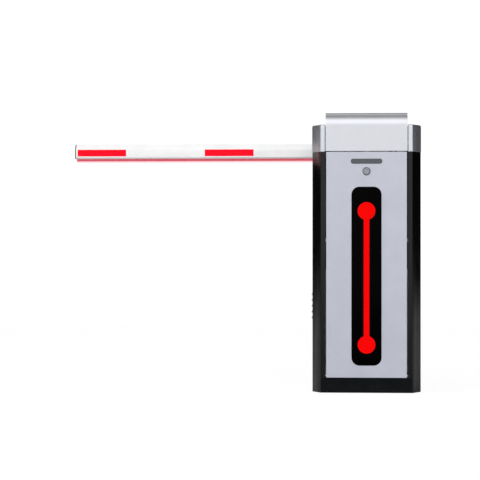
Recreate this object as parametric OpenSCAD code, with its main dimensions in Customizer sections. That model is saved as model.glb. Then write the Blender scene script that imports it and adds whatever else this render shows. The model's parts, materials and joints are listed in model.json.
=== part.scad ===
// Parking barrier gate: a floor-standing cabinet with a lifting boom on its rear face.
// +Z is up, the lamp door faces -Y, the closed boom points along -X, and the origin is the
// centre of the base plate's underside. All sizes are in millimetres.

/* [Cabinet] */
// Overall width of the sheet cabinet
cab_w = 388; // [360:1:470]
// Overall depth of the sheet cabinet
cab_d = 300; // [296:1:360]
// Height of the sheet cabinet, up to the foot of the top cap
body_h = 860; // [840:1:1040]
// Width of each corner facet, seen from the front
facet_w = 31; // [28:0.5:40]
// Depth of each corner facet, seen from the side
facet_d = 58; // [45:1:64]
// Thickness of the folded sheet panels
sheet = 2; // [1.5:0.1:2.5]
// Height of the shoulders above the foot of the top cap
shoulder_h = 97; // [92:1:120]
// Height of the hood above the shoulders
hood_rise = 43; // [36:1:60]
// Radius of the hood's front and rear bends
hood_bend = 45; // [20:1:60]

/* [Door] */
// Width of the door
door_w = 287; // [270:1:300]
// Height of the door's lower edge above the floor
door_sill = 54; // [45:0.5:70]
// Gap all round the door
door_gap = 3; // [2:0.5:5]
// Width of the dark lamp window
window_w = 106.4; // [96:0.2:126]
// Height of the dark lamp window
window_h = 637; // [560:1:660]
// Height of the window's centre above the floor
window_z = 416; // [400:1:430]
// Corner radius of the lamp window
window_r = 28; // [10:1:40]
// Height of the lamp's centre above the floor
lamp_z = 410; // [400:1:425]
// Distance between the two round lamp ends
lamp_span = 477; // [380:1:500]
// Radius of the round lamp ends
lamp_r = 31.5; // [24:0.5:40]
// Width of the lamp's straight bar
lamp_bar = 20; // [14:0.5:30]
// Depth of the door lock below the foot of the top cap
lock_drop = 70; // [60:1:80]

/* [Boom] */
// Length from the spindle's axis to the boom's outer end
boom_reach = 1095; // [700:1:4500]
// Height of the boom profile
boom_h = 54; // [46:1:64]
// Depth of the boom profile
boom_d = 45; // [38:1:60]
// Wall of the boom profile
boom_wall = 2.5; // [2:0.1:4]
// Length of one reflective stripe
stripe_len = 183; // [100:1:250]
// Distance from one stripe to the next
stripe_pitch = 480; // [300:1:900]

/* [Drive] */
// Height of the spindle's axis above the floor
spindle_z = 877; // [870:1:884]
// Radius of the spindle
spindle_r = 15; // [12:0.5:17]
// Height of the gearbox output's axis above the floor
gearbox_z = 560; // [545:1:580]
// Throw of the rocker and of the crank
throw = 60; // [45:1:64]
// Throw of the balance spring's lever
spring_throw = 80; // [66:1:84]
// Number of teeth on the worm wheel
wheel_teeth = 40; // [32:4:40]
// Module of the worm gearing
gear_module = 1.5; // [1.25:0.05:1.5]
// Pitch radius of the worm
worm_r = 12; // [10:0.5:13]
// Radius of the motor's body
motor_r = 35; // [28:0.5:35]

/* [Base] */
// Thickness of the base plate
base_t = 8; // [6:1:12]
// Distance between anchor holes, side to side
anchor_x = 220; // [200:1:224]
// Distance between anchor holes, front to back
anchor_y = 200; // [190:1:220]
// Radius of the anchor holes
anchor_r = 7; // [5:0.5:9]

/* [Hidden] */
$fn = 64;
hex_ratio = 1.85;    // a hexagon's corner radius for each unit of its bolt's radius

// Fits, gaps and other values shared between pieces
slip = 0.3;          // gap between pieces that only lie against each other
run = 0.05;          // radial clearance of a running fit
cut = 1;             // how far a cutting tool passes a face
fold = 20;           // depth of the folded returns, with the sheet
front_y = -cab_d / 2;
rear_y = cab_d / 2;
flat_x = cab_w / 2 - facet_w;
shoulder_z = body_h + shoulder_h;
top_z = shoulder_z + hood_rise;
cap_wall = 3;
cap_proud = 1;
cap_edge = 7;

// Door and lamp
door_top = body_h - 0.5;
jamb_x = door_w / 2 + door_gap + 0.5;
sill_z = door_sill - door_gap;
pin_r = 3;
hinge_y = front_y + 6.5;
hinge_z = door_sill + 7;
window_t = 3;
lamp_case_d = 24;
lamp_case_w = window_w + 14;
lamp_case_h = window_h + 14;
lock_z = body_h - lock_drop;
lock_r = 9.5;
plug_r = 6;
cam_w = 14;
cam_t = 3;

// Hood and top cap
hood_t = 2;
hood_w = door_w + 5;
hood_z = body_h + 2.5;
hood_slot = 2.5;
hood_rear_z = shoulder_z - 22;
lintel_z = body_h - 24;
lintel_y = front_y + fold;
ledge_t = 3;
tongue_x = hood_w / 2 - hood_t - slip;
tongue_z = hood_rear_z + 12;

// Core frame and mechanism plates
tube = 30;
tube_wall = 3;
post_x = 150;
post_front_y = -62;
post_rear_y = 80;
plate_t = 10;
plate_x = post_x + tube / 2;
plate_top = shoulder_z - 23;
front_plate_z = gearbox_z - 55;
rear_plate_z = spindle_z - 177;
post_top = plate_top - 4;
foot_t = 6;
foot_w = 50;
side_rail_z = gearbox_z - 120;
spring_y = 34;
bolt_r = 4;
nut_h = 6.4;

// Spindle, bearings and arms
bearing_r = spindle_r + 16;
bearing_w = 16;
race_t = 5;
ball_r = (bearing_r - spindle_r) / 2 - race_t - 0.1;
ball_count = 12;
housing_r = bearing_r + 9;
housing_flange_r = housing_r + 15;
arm_y = front_y + 56;
arm_t = 12;
hub_r = 27;
eye_pin_r = 6;
rest_angle = 45;
rod_gap = 2;
rod_t = 12;
rod_y0 = arm_y - rod_gap - rod_t;
rod_len = spindle_z - gearbox_z;
spindle_hub_r = spindle_r + 9;
spindle_flange_r = 48;
spindle_flange_t = 10;
flange_y = rear_y + 8;
flange_bolt_pcd = 70;
lever_y = 6;

// Balance spring
spring_x = spring_throw * cos(rest_angle);
spring_top_z = spindle_z + spring_throw * sin(rest_angle);
wire_r = 3;
coil_r = 16;
coil_turns = 30;
hook_r = eye_pin_r + wire_r + slip;
coil_len = 260;
coil_top = spring_top_z - 28;
coil_bottom = coil_top - coil_len;
eye_z = coil_bottom - 20;

// Gearbox and motor
wheel_r = wheel_teeth * gear_module / 2;
pitch = PI * gear_module;
worm_x = -(wheel_r + worm_r);
worm_y = -12;
worm_turns = 5;
backlash = 0.45;
wheel_face = 8;
out_r = 12.5;
worm_shaft_r = 6;
gearbox_wall = 8;
gearbox_x0 = worm_x - 24;
gearbox_x1 = wheel_r + 14;
gearbox_half = 55;
gearbox_low = gearbox_z - gearbox_half;
gearbox_high = gearbox_z + gearbox_half;
gearbox_back = 12;
motor_flange = 10;
motor_len = 120;
motor_low = gearbox_low - motor_flange - motor_len;
wheel_z = motor_low - 40;
handwheel_r = 42;

// Boom, holder and clamp
boom_y = flange_y + spindle_flange_t + 8 + boom_d / 2 + slip;
boom_low = spindle_z - boom_h / 2;
boom_root = 82;
holder_x0 = -150;
holder_t = 6;
web_t = 8;
cap_t = 3.5;
strip_h = 8;
strip_w = 11;
lip_h = 15;
lip_w = 18;
strip_root = holder_x0 - 15;
stripe_h = 25;
stripe_z = boom_low + 22;
tape_t = 0.4;
clamp_bolt_x = [-130, -65, 65];

// Points of the cabinet's plan, inset from the outer skin by the given amount
facet_len = norm([facet_w, facet_d]);
function plan_corner(inset) = [
    [flat_x - inset * (facet_len - facet_w) / facet_d, cab_d / 2 - inset],
    [cab_w / 2 - inset, cab_d / 2 - facet_d - inset * (facet_len - facet_d) / facet_w]
];
function plan(inset) = let (c = plan_corner(inset), a = c[0], b = c[1]) [
    [b[0], -b[1]], [b[0], b[1]], [a[0], a[1]], [-a[0], a[1]],
    [-b[0], b[1]], [-b[0], -b[1]], [-a[0], -a[1]], [a[0], -a[1]]
];

// Points of the boom's section in depth and height, inset from its outer skin
boom_top_cut = [12, 20];
boom_foot_cut = [5, 5];
function boom_corner(size, inset) = let (l = norm(size)) [
    [boom_d / 2 - size[0] - inset * (l - size[0]) / size[1], boom_h / 2 - inset],
    [boom_d / 2 - inset, boom_h / 2 - size[1] - inset * (l - size[1]) / size[0]]
];
function boom_section(inset) =
    let (t = boom_corner(boom_top_cut, inset), f = boom_corner(boom_foot_cut, inset)) [
    [f[0][0], -f[0][1]], [f[1][0], -f[1][1]], [t[1][0], t[1][1]], [t[0][0], t[0][1]],
    [-t[0][0], t[0][1]], [-t[1][0], t[1][1]], [-f[1][0], -f[1][1]], [-f[0][0], -f[0][1]]
];

// Involute of the worm wheel's tooth: half its angle at a given radius
function involute(a) = tan(a) - a * PI / 180;
base_r = wheel_r * cos(20);
tooth_half = (pitch / 2 - backlash) / 2 / wheel_r;
function tooth_angle(r) = (tooth_half + involute(20) - involute(acos(min(1, base_r / r)))) * 180 / PI;
root_r = wheel_r - 1.25 * gear_module;
tip_r = wheel_r + gear_module;
flank_steps = 4;
flank = [for (i = [0:flank_steps]) max(root_r, base_r) + (tip_r - max(root_r, base_r)) * i / flank_steps];
function tooth(turn) = concat(
    [[root_r, turn - tooth_angle(flank[0]) - 0.4]],
    [for (r = flank) [r, turn - tooth_angle(r)]],
    [for (i = [flank_steps:-1:0]) [flank[i], turn + tooth_angle(flank[i])]],
    [[root_r, turn + tooth_angle(flank[0]) + 0.4]]
);
function wheel_points() = [
    for (i = [0:wheel_teeth - 1]) for (p = tooth(i * 360 / wheel_teeth))
        [p[0] * cos(p[1]), p[0] * sin(p[1])]
];

// Worm thread: radius of the cross-section at each angle, for one trapezoidal start
thread_half = (pitch / 2 - backlash) / 2;
worm_root_r = worm_r - 1.2 * gear_module;
worm_tip_r = worm_r + gear_module;
function thread_radius(a) = let (z = abs(a) / 360 * pitch)
    max(worm_root_r, min(worm_tip_r, worm_r + (thread_half - z) / tan(20)));
worm_points = [for (a = [-180:18:162]) thread_radius(a) * [cos(a), sin(a)]];

// A bar along one axis, starting at the given point
module bar_x(at, r, len) { translate(at) rotate([0, 90, 0]) cylinder(r = r, h = len); }
module bar_y(at, r, len) { translate(at) rotate([-90, 0, 0]) cylinder(r = r, h = len); }
module bar_z(at, r, len) { translate(at) cylinder(r = r, h = len); }

// A flat shape drawn in X and Z, given a thickness along Y, or drawn in Y and Z along X
module slab_y(y0, t) { translate([0, y0 + t, 0]) rotate([90, 0, 0]) linear_extrude(t) children(); }
module slab_x(x0, t) { translate([x0, 0, 0]) rotate([90, 0, 90]) linear_extrude(t) children(); }

// A block between two corners
module block(low, high) { translate(low) cube(high - low); }

// Its children, and a copy of them on the other side
module both_sides() { children(); mirror([1, 0, 0]) children(); }

// A rectangle with round corners, centred
module rounded(w, h, r) {
    square([w - 2 * r, h], center = true);
    square([w, h - 2 * r], center = true);
    for (x = [-1, 1], y = [-1, 1]) translate([x * (w / 2 - r), y * (h / 2 - r)]) circle(r);
}

// A lever's outline along +X, from its hub to its pin
module lever(len, hub, tip, width) {
    circle(hub);
    translate([0, -width / 2]) square([len, width]);
    translate([len, 0]) circle(tip);
}

// A hexagon bolt along +Y whose head ends where its shank starts
module bolt_y(at, r, len) {
    head = 1.3 * r;
    bar_y(at, r, len);
    translate(at - [0, head, 0]) rotate([-90, 0, 0]) cylinder(r = hex_ratio * r, h = head, $fn = 6);
}

// The lamp's outline: two round ends and a bar
module lamp_outline(grow) {
    translate([0, lamp_z]) {
        for (z = [-1, 1]) translate([0, z * lamp_span / 2]) circle(lamp_r + grow);
        square([lamp_bar + 2 * grow, lamp_span], center = true);
    }
}

// One folded side of the cabinet, drawn on +X, with its front jamb and its rear return
rear_return_x = jamb_x - 19;
module side_sheet() {
    difference() {
        linear_extrude(body_h) difference() {
            polygon(plan(0));
            polygon(plan(sheet));
        }
        block([-cab_w, -cab_d, -cut], [jamb_x, 0, body_h + cut]);
        block([-cab_w, -cut, -cut], [rear_return_x, cab_d, body_h + cut]);
        block([jamb_x - cut, front_y - cut, -cut], [flat_x, front_y + sheet, sill_z]);
        for (z = screw_z) bar_y([screw_x, rear_y - sheet - cut, z], screw_r + slip, sheet + 2 * cut);
    }
    difference() {
        block([jamb_x, front_y, sill_z], [jamb_x + sheet, front_y + fold, body_h]);
        bar_x([jamb_x - cut, hinge_y, hinge_z], pin_r + run, sheet + 2 * cut);
    }
}

// Pressed louvres of the left side, drawn on +X
louvre_z0 = 268;
louvre_pitch = 21;
louvre_count = 5;
louvre_h = 9;
louvre_d = 4;
louvre_y = [-86, 34];
louvre_wall = 1;
module louvre_wedge(inset) {
    y = louvre_y + [inset, -inset];
    translate([0, y[1], 0]) rotate([90, 0, 0]) linear_extrude(y[1] - y[0])
        polygon([[-sheet, -louvre_h / 2], [louvre_d - 1.5 * inset, -louvre_h / 2],
                 [-0.2, louvre_h / 2 - 2 * inset], [-sheet, louvre_h / 2 - 2 * inset]]);
}
module left_side_panel() color([0.03, 0.035, 0.04]) mirror([1, 0, 0]) {
    difference() {
        union() {
            side_sheet();
            for (i = [0:louvre_count - 1])
                translate([cab_w / 2, 0, louvre_z0 + i * louvre_pitch]) louvre_wedge(0);
        }
        for (i = [0:louvre_count - 1])
            translate([cab_w / 2, 0, louvre_z0 + i * louvre_pitch - 0.01]) louvre_wedge(louvre_wall);
    }
}
module right_side_panel() color([0.03, 0.035, 0.04]) side_sheet();

module kick_plate() color([0.07, 0.075, 0.09]) {
    x = flat_x - slip;
    block([-x, front_y, 0], [x, front_y + sheet, sill_z]);
    block([-x + sheet, front_y, sill_z - sheet], [x - sheet, front_y + fold, sill_z]);
}

module front_lintel() color([0.1, 0.1, 0.11]) {
    x = jamb_x + 11;
    block([-x, lintel_y, lintel_z], [x, lintel_y + 3, body_h - 2]);
    block([-x, lintel_y, body_h - 5], [x, lintel_y + 13, body_h - 2]);
}

screw_r = 3;
screw_x = jamb_x - 9;
screw_z = [60, 313, 566, 820];
rear_panel_y = rear_y - 2 * sheet - slip;
seal_r = 26;
hood_screw_x = 110;
hood_screw_z = hood_rear_z + 6;
module rear_panel() color([0.05, 0.055, 0.065]) {
    difference() {
        union() {
            block([-jamb_x - 3, rear_panel_y, base_t + slip],
                [jamb_x + 3, rear_panel_y + sheet, body_h - 2]);
            block([-tongue_x, rear_panel_y, body_h - 3], [tongue_x, rear_panel_y + sheet, tongue_z]);
        }
        bar_y([0, rear_panel_y - cut, spindle_z], seal_r, sheet + 2 * cut);
        for (x = [-1, 1], z = screw_z)
            bar_y([x * screw_x, rear_panel_y - cut, z], screw_r + slip, sheet + 2 * cut);
        for (x = [-1, 1])
            bar_y([x * hood_screw_x, rear_panel_y - cut, hood_screw_z], screw_r + slip, sheet + 2 * cut);
    }
}

// The corner caps' outer form, with its top edge rounded in flats
module cap_form() {
    hull() for (a = [0:30:90]) translate([0, 0, body_h])
        linear_extrude(shoulder_h - cap_edge * (1 - sin(a)))
            polygon(plan(cap_edge * (1 - cos(a)) - cap_proud));
}

// A corner cap beside the hood, drawn on +X, with the ledge that the hood's side rests on
slot_x = hood_w / 2 + hood_slot;
ledge_y = [-30, 45];
ledge_reach = 10;
module shoulder() color([0.42, 0.43, 0.46]) {
    wall_x = slot_x + cap_wall;
    difference() {
        cap_form();
        translate([0, 0, body_h - cut]) linear_extrude(shoulder_h + cut - cap_wall)
            polygon(plan(cap_wall - cap_proud));
        block([-cab_w, -cab_d, body_h - cut], [slot_x, cab_d, top_z]);
    }
    intersection() {
        cap_form();
        block([slot_x, front_y, hood_rear_z + 2], [wall_x, rear_y, shoulder_z]);
    }
    block([slot_x, ledge_y[0], hood_rear_z - ledge_t], [wall_x, ledge_y[1], hood_rear_z + 3]);
    block([slot_x - ledge_reach, ledge_y[0], hood_rear_z - ledge_t], [wall_x, ledge_y[1], hood_rear_z]);
}
module left_shoulder() mirror([1, 0, 0]) shoulder();
module right_shoulder() shoulder();

// The hood's outline from the side, inset from its skin
module hood_outline(inset) {
    r = hood_bend - inset;
    y = cab_d / 2 - hood_bend;
    translate([-cab_d / 2 + inset, hood_z - cut])
        square([cab_d - 2 * inset, top_z - hood_bend - hood_z + cut]);
    translate([-y, hood_z]) square([2 * y, top_z - inset - hood_z]);
    for (k = [-1, 1]) translate([k * y, top_z - hood_bend]) circle(r);
}
module hood() color([0.8, 0.81, 0.84]) {
    difference() {
        slab_x(-hood_w / 2, hood_w) hood_outline(0);
        slab_x(-hood_w / 2 + hood_t, hood_w - 2 * hood_t) hood_outline(hood_t);
        block([-hood_w, front_y + hood_t, 0], [hood_w, rear_y + cut, hood_rear_z]);
        block([-hood_w, front_y - cut, 0], [hood_w, rear_y + cut, hood_z]);
        for (x = [-1, 1])
            bar_y([x * hood_screw_x, rear_y - hood_t - cut, hood_screw_z], screw_r + slip,
                hood_t + 2 * cut);
    }
}

module base_plate() color([0.45, 0.46, 0.48]) {
    difference() {
        linear_extrude(base_t) polygon(plan(sheet + slip));
        for (x = [-1, 1], y = [-1, 1])
            bar_z([x * anchor_x / 2, y * anchor_y / 2, -cut], anchor_r, base_t + 2 * cut);
        bar_z([0, 0, -cut], cable_r, base_t + 2 * cut);
        for (p = foot_bolts) bar_z([p[0], p[1], -cut], bolt_r + slip, base_t + 2 * cut);
    }
}
cable_r = 31;
foot_bolts = [for (x = [-1, 1], y = [post_front_y, post_rear_y], k = [-1, 1])
    [x * (post_x - 20), y + k * 20]];

module square_tube(len) {
    linear_extrude(len) difference() {
        square(tube, center = true);
        square(tube - 2 * tube_wall, center = true);
    }
}
front_face_y = post_front_y + tube / 2;
rear_face_y = post_rear_y - tube / 2;
rail_len = rear_face_y - front_face_y;
plate_bolts_front = [front_plate_z + 40, plate_top - 40];
plate_bolts_rear = [rear_plate_z + 40, plate_top - 40];
device_z = [62, side_rail_z];
device_bolt_z = [device_z[0] + 20, device_z[1] - 20];
module core_frame() color([0.3, 0.31, 0.33]) {
    for (x = [-1, 1]) {
        for (y = [post_front_y, post_rear_y]) {
            difference() {
                union() {
                    translate([x * post_x, y, base_t + foot_t]) square_tube(post_top - base_t - foot_t);
                    block([x * post_x - foot_w / 2, y - foot_w / 2, base_t],
                          [x * post_x + foot_w / 2, y + foot_w / 2, base_t + foot_t]);
                }
                z_list = y < 0 ? plate_bolts_front : plate_bolts_rear;
                for (z = z_list) bar_y([x * post_x, y - tube, z], bolt_r + slip, 2 * tube);
                if (y < 0) for (z = device_bolt_z)
                    bar_y([x * post_x, y - tube, z], bolt_r + slip, 2 * tube);
                for (p = foot_bolts) bar_z([p[0], p[1], base_t - cut], bolt_r + slip, foot_t + 2 * cut);
            }
        }
        translate([x * post_x, front_face_y, side_rail_z + 20]) rotate([-90, 0, 0]) square_tube(rail_len);
    }
}

housing_bolts = [for (a = [45:90:315]) (housing_r + 7.5) * [cos(a), sin(a)]];
clevis_stud_r = 5;
shelf_z = eye_z - 34;
stop_at = 49.8 * [cos(70.5), sin(70.5)];
stop_r = 5;
module front_mech_plate() color([0.45, 0.46, 0.48]) {
    difference() {
        union() {
            block([-plate_x, front_face_y, front_plate_z], [plate_x, front_face_y + plate_t, plate_top]);
            block([spring_x - 12, front_face_y + plate_t, shelf_z],
                [spring_x + 12, spring_y + 12, shelf_z + plate_t]);
        }
        bar_y([0, front_face_y - cut, spindle_z], spindle_r + 5, plate_t + 2 * cut);
        bar_y([0, front_face_y - cut, gearbox_z], out_r + 5, plate_t + 2 * cut);
        for (p = housing_bolts)
            bar_y([p[0], front_face_y - cut, spindle_z + p[1]], bolt_r + slip, plate_t + 2 * cut);
        for (x = [-1, 1], z = plate_bolts_front)
            bar_y([x * post_x, front_face_y - cut, z], bolt_r + slip, plate_t + 2 * cut);
        bar_z([spring_x, spring_y, shelf_z - cut], clevis_stud_r + run, plate_t + 2 * cut);
    }
}
module rear_mech_plate() color([0.45, 0.46, 0.48]) {
    y0 = rear_face_y - plate_t;
    difference() {
        block([-plate_x, y0, rear_plate_z], [plate_x, rear_face_y, plate_top]);
        bar_y([0, y0 - cut, spindle_z], spindle_r + 5, plate_t + 2 * cut);
        for (p = housing_bolts) bar_y([p[0], y0 - cut, spindle_z + p[1]], bolt_r + slip, plate_t + 2 * cut);
        for (x = [-1, 1], z = plate_bolts_rear)
            bar_y([x * post_x, y0 - cut, z], bolt_r + slip, plate_t + 2 * cut);
    }
}

// A bolt along +Y with its head before the grip and its nut behind it
module through_bolt(at, grip) {
    bolt_y(at, bolt_r, grip + nut_h + 2);
    translate(at + [0, grip, 0]) rotate([-90, 0, 0]) cylinder(r = hex_ratio * bolt_r, h = nut_h, $fn = 6);
}
module machine_bolts() color([0.6, 0.6, 0.62]) {
    y_front = front_face_y - tube;
    for (x = [-1, 1]) {
        for (z = plate_bolts_front) through_bolt([x * post_x, y_front, z], tube + plate_t);
        for (z = plate_bolts_rear) through_bolt([x * post_x, rear_face_y - plate_t, z], tube + plate_t);
        for (z = device_bolt_z) through_bolt([x * post_x, y_front - device_t, z], tube + device_t);
    }
    for (p = housing_bolts) {
        through_bolt([p[0], front_face_y, spindle_z + p[1]], 2 * plate_t);
        through_bolt([p[0], rear_face_y - plate_t, spindle_z + p[1]], 2 * plate_t);
    }
    for (p = foot_bolts) {
        bar_z([p[0], p[1], 1], bolt_r, base_t + foot_t);
        translate([p[0], p[1], base_t + foot_t]) cylinder(r = hex_ratio * bolt_r, h = nut_h - 1, $fn = 6);
    }
}

housing_len = bearing_w + 4;
module bearing_housing() {
    difference() {
        union() {
            cylinder(r = housing_flange_r, h = plate_t);
            cylinder(r = housing_r, h = housing_len);
        }
        translate([0, 0, -cut]) cylinder(r = bearing_r, h = bearing_w + 2 + cut);
        translate([0, 0, -cut]) cylinder(r = bearing_r - 3, h = housing_len + 2 * cut);
        for (p = housing_bolts) translate([p[0], p[1], -cut])
            cylinder(r = bolt_r + slip, h = plate_t + 2 * cut);
    }
}
housing_y = [front_face_y + plate_t, rear_face_y];
module at_bearings() {
    for (y = housing_y) translate([0, y, spindle_z]) rotate([-90, 0, 0]) children();
}
module bearing_housings() color([0.35, 0.38, 0.42]) at_bearings() bearing_housing();
module shaft_bearings() color([0.75, 0.76, 0.78]) at_bearings() translate([0, 0, 1.7]) {
    difference() {
        cylinder(r = bearing_r - run, h = bearing_w);
        translate([0, 0, -cut]) cylinder(r = bearing_r - race_t, h = bearing_w + 2 * cut);
    }
    for (i = [0:ball_count - 1]) rotate([0, 0, i * 360 / ball_count])
        translate([(bearing_r + spindle_r) / 2, 0, bearing_w / 2]) sphere(r = ball_r, $fn = 24);
}
module bearing_inner_races() color([0.75, 0.76, 0.78]) at_bearings() translate([0, 0, 1.7]) difference() {
    cylinder(r = spindle_r + race_t, h = bearing_w);
    translate([0, 0, -cut]) cylinder(r = spindle_r + run, h = bearing_w + 2 * cut);
}

module shaft_seal() color([0.05, 0.05, 0.05]) difference() {
    union() {
        bar_y([0, rear_panel_y - 3, spindle_z], seal_r - slip, sheet + 6);
        bar_y([0, rear_panel_y + sheet, spindle_z], seal_r + 6, 3);
    }
    bar_y([0, rear_panel_y - 4, spindle_z], spindle_r + run, sheet + 8);
}

gearbox_front = front_face_y + plate_t;
cover_t = 6;
cover_y = gearbox_back - cover_t;
screw_inset = 5;
cover_screws = [for (x = [gearbox_x0 + screw_inset, gearbox_x1 - screw_inset],
    z = [gearbox_low + screw_inset, gearbox_high - screw_inset]) [x, z]];
module gearbox_housing() color([0.28, 0.33, 0.38]) difference() {
    block([gearbox_x0, gearbox_front, gearbox_low], [gearbox_x1, cover_y, gearbox_high]);
    block([gearbox_x0 + gearbox_wall, gearbox_front + gearbox_wall, gearbox_low + gearbox_wall],
          [gearbox_x1 - gearbox_wall, cover_y + cut, gearbox_high - gearbox_wall]);
    bar_y([0, gearbox_front - cut, gearbox_z], out_r + run, gearbox_wall + 2 * cut);
    bar_z([worm_x, worm_y, gearbox_low - cut], worm_shaft_r + run, gearbox_high - gearbox_low - 2);
    for (p = cover_screws) bar_y([p[0], cover_y - 12, p[1]], 2.5, 12 + cut);
}
module gearbox_cover() color([0.28, 0.33, 0.38]) {
    difference() {
        block([gearbox_x0, cover_y, gearbox_low], [gearbox_x1, gearbox_back, gearbox_high]);
        bar_y([0, cover_y - cut, gearbox_z], out_r + run, cover_t - 2 + cut);
        for (p = cover_screws) bar_y([p[0], cover_y - cut, p[1]], 2.8, cover_t + 2 * cut);
    }
    for (p = cover_screws) bar_y([p[0], cover_y - 10, p[1]], 2.4, 12 + cover_t);
}

motor_high = gearbox_low - motor_flange;
stator_r = 22;
fin_count = 16;
module motor_housing() color([0.2, 0.24, 0.28]) translate([worm_x, worm_y, 0]) difference() {
    union() {
        bar_z([0, 0, motor_low], motor_r - 4, motor_high - motor_low);
        bar_z([0, 0, motor_high], motor_r, motor_flange);
        for (i = [0:fin_count - 1]) rotate([0, 0, (i + 0.5) * 360 / fin_count])
            translate([stator_r + 3, -1.2, motor_low])
                cube([motor_r - stator_r - 4, 2.4, motor_high - motor_low + 1]);
    }
    bar_z([0, 0, motor_low - cut], stator_r, motor_high - motor_low + cut);
    bar_z([0, 0, motor_high - cut], worm_shaft_r + 2, motor_flange + 2 * cut);
}
bell_h = 8;
module motor_end_bell() color([0.2, 0.24, 0.28]) translate([worm_x, worm_y, 0]) difference() {
    bar_z([0, 0, motor_low - bell_h], motor_r, bell_h);
    bar_z([0, 0, motor_low - bell_h - cut], worm_shaft_r + run, bell_h + 2 * cut);
}
device_t = 3;
device_y = front_face_y - tube - device_t;
cable_z = motor_low + 25;
box_y = [worm_y - motor_r - 14, worm_y - motor_r];
cord_r = 4;
module motor_terminal_box() color([0.12, 0.13, 0.14]) difference() {
    block([worm_x - 20, box_y[0], cable_z - 20], [worm_x + 20, box_y[1], cable_z + 20]);
    block([worm_x - 17, box_y[0] + 3, cable_z - 17], [worm_x + 17, box_y[1] + cut, cable_z + 17]);
    bar_y([worm_x, box_y[0] - cut, cable_z], cord_r + slip, 4 + cut);
}
module motor_cable() color([0.04, 0.04, 0.04])
    bar_y([worm_x, device_y - 8, cable_z], cord_r, box_y[0] + 8 - device_y + 8);

module output_shaft() color([0.7, 0.71, 0.73]) {
    bar_y([0, arm_y - 3, gearbox_z], out_r, gearbox_back - 2.5 - arm_y + 3);
}
module worm_wheel() color([0.72, 0.55, 0.25]) difference() {
    union() {
        slab_y(worm_y - wheel_face / 2, wheel_face) translate([0, gearbox_z])
            rotate(180 / wheel_teeth) polygon(wheel_points());
        bar_y([0, worm_y - 10, gearbox_z], out_r + 6, 20);
    }
    bar_y([0, worm_y - 12, gearbox_z], out_r + run, 24);
}
arm_w = 24;
eye_r = eye_pin_r + 9;
pin_len = rod_gap + rod_t + rod_gap;

// A crank or rocker with its hub and its pin, on the given height
module crank(z, hub_len, bore) translate([0, 0, z]) {
    difference() {
        union() {
            slab_y(arm_y, arm_t) rotate(180 + rest_angle) lever(throw, hub_r - 1, eye_r, arm_w);
            bar_y([0, arm_y, 0], hub_r, hub_len);
        }
        bar_y([0, arm_y - cut, 0], bore + run, hub_len + 2 * cut);
    }
    at = -throw * [cos(rest_angle), 0, sin(rest_angle)];
    bar_y(at + [0, arm_y - pin_len, 0], eye_pin_r, pin_len);
    bar_y(at + [0, arm_y - pin_len - 4, 0], eye_pin_r + 3, 4);
}
module crank_arm() color([0.5, 0.51, 0.54]) crank(gearbox_z, arm_t + 10, out_r);
module rocker_arm() color([0.5, 0.51, 0.54]) crank(spindle_z, arm_t + 20, spindle_r);

rod_x = -throw * cos(rest_angle);
rod_z = gearbox_z - throw * sin(rest_angle);
open_pivot = 0.5;    // radial clearance of the rod's upper eye
neck = 34;
module rod_eye(z, up, clearance) translate([rod_x, 0, z]) {
    difference() {
        union() {
            bar_y([0, rod_y0, 0], eye_r, rod_t);
            translate([0, rod_y0 + rod_t / 2, 0]) mirror([0, 0, up ? 0 : 1]) {
                cylinder(r = 5, h = neck + 10);
                translate([0, 0, neck - 6]) cylinder(r = 9, h = 6, $fn = 6);
            }
        }
        bar_y([0, rod_y0 - cut, 0], eye_pin_r + clearance, rod_t + 2 * cut);
    }
}
module rod_ends() color([0.7, 0.71, 0.73]) {
    rod_eye(rod_z, true, run);
    rod_eye(rod_z + rod_len, false, open_pivot);
}
module connecting_rod() color([0.5, 0.51, 0.54]) translate([rod_x, rod_y0 + rod_t / 2, 0]) difference() {
    bar_z([0, 0, rod_z + neck], 8, rod_len - 2 * neck);
    bar_z([0, 0, rod_z + neck - cut], 5, 12 + cut);
    bar_z([0, 0, rod_z + rod_len - neck - 12], 5, 12 + cut);
}

worm_len = worm_turns * pitch;
rotor_r = stator_r - 1;
module worm_shaft() color([0.62, 0.63, 0.65]) translate([worm_x, worm_y, 0]) {
    bar_z([0, 0, wheel_z - 12], worm_shaft_r, gearbox_high - 3 - wheel_z + 12);
    bar_z([0, 0, motor_low + 12], rotor_r, motor_high - motor_low - 24);
    translate([0, 0, gearbox_z - worm_len / 2])
        linear_extrude(worm_len, twist = -360 * worm_turns, slices = 16 * worm_turns, segments = 20)
            rotate(worm_turns % 2 == 1 ? 180 : 0) polygon(worm_points);
}
rim_r = 5;
module handwheel() color([0.75, 0.1, 0.1]) translate([worm_x, worm_y, wheel_z]) difference() {
    union() {
        rotate_extrude() translate([handwheel_r - rim_r, 0]) circle(rim_r);
        translate([0, 0, -8]) cylinder(r = 11, h = 20);
        for (a = [0:120:240]) rotate([0, 90, a]) cylinder(r = 4, h = handwheel_r - rim_r);
    }
    translate([0, 0, -9]) cylinder(r = worm_shaft_r + run, h = 22);
}

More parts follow.
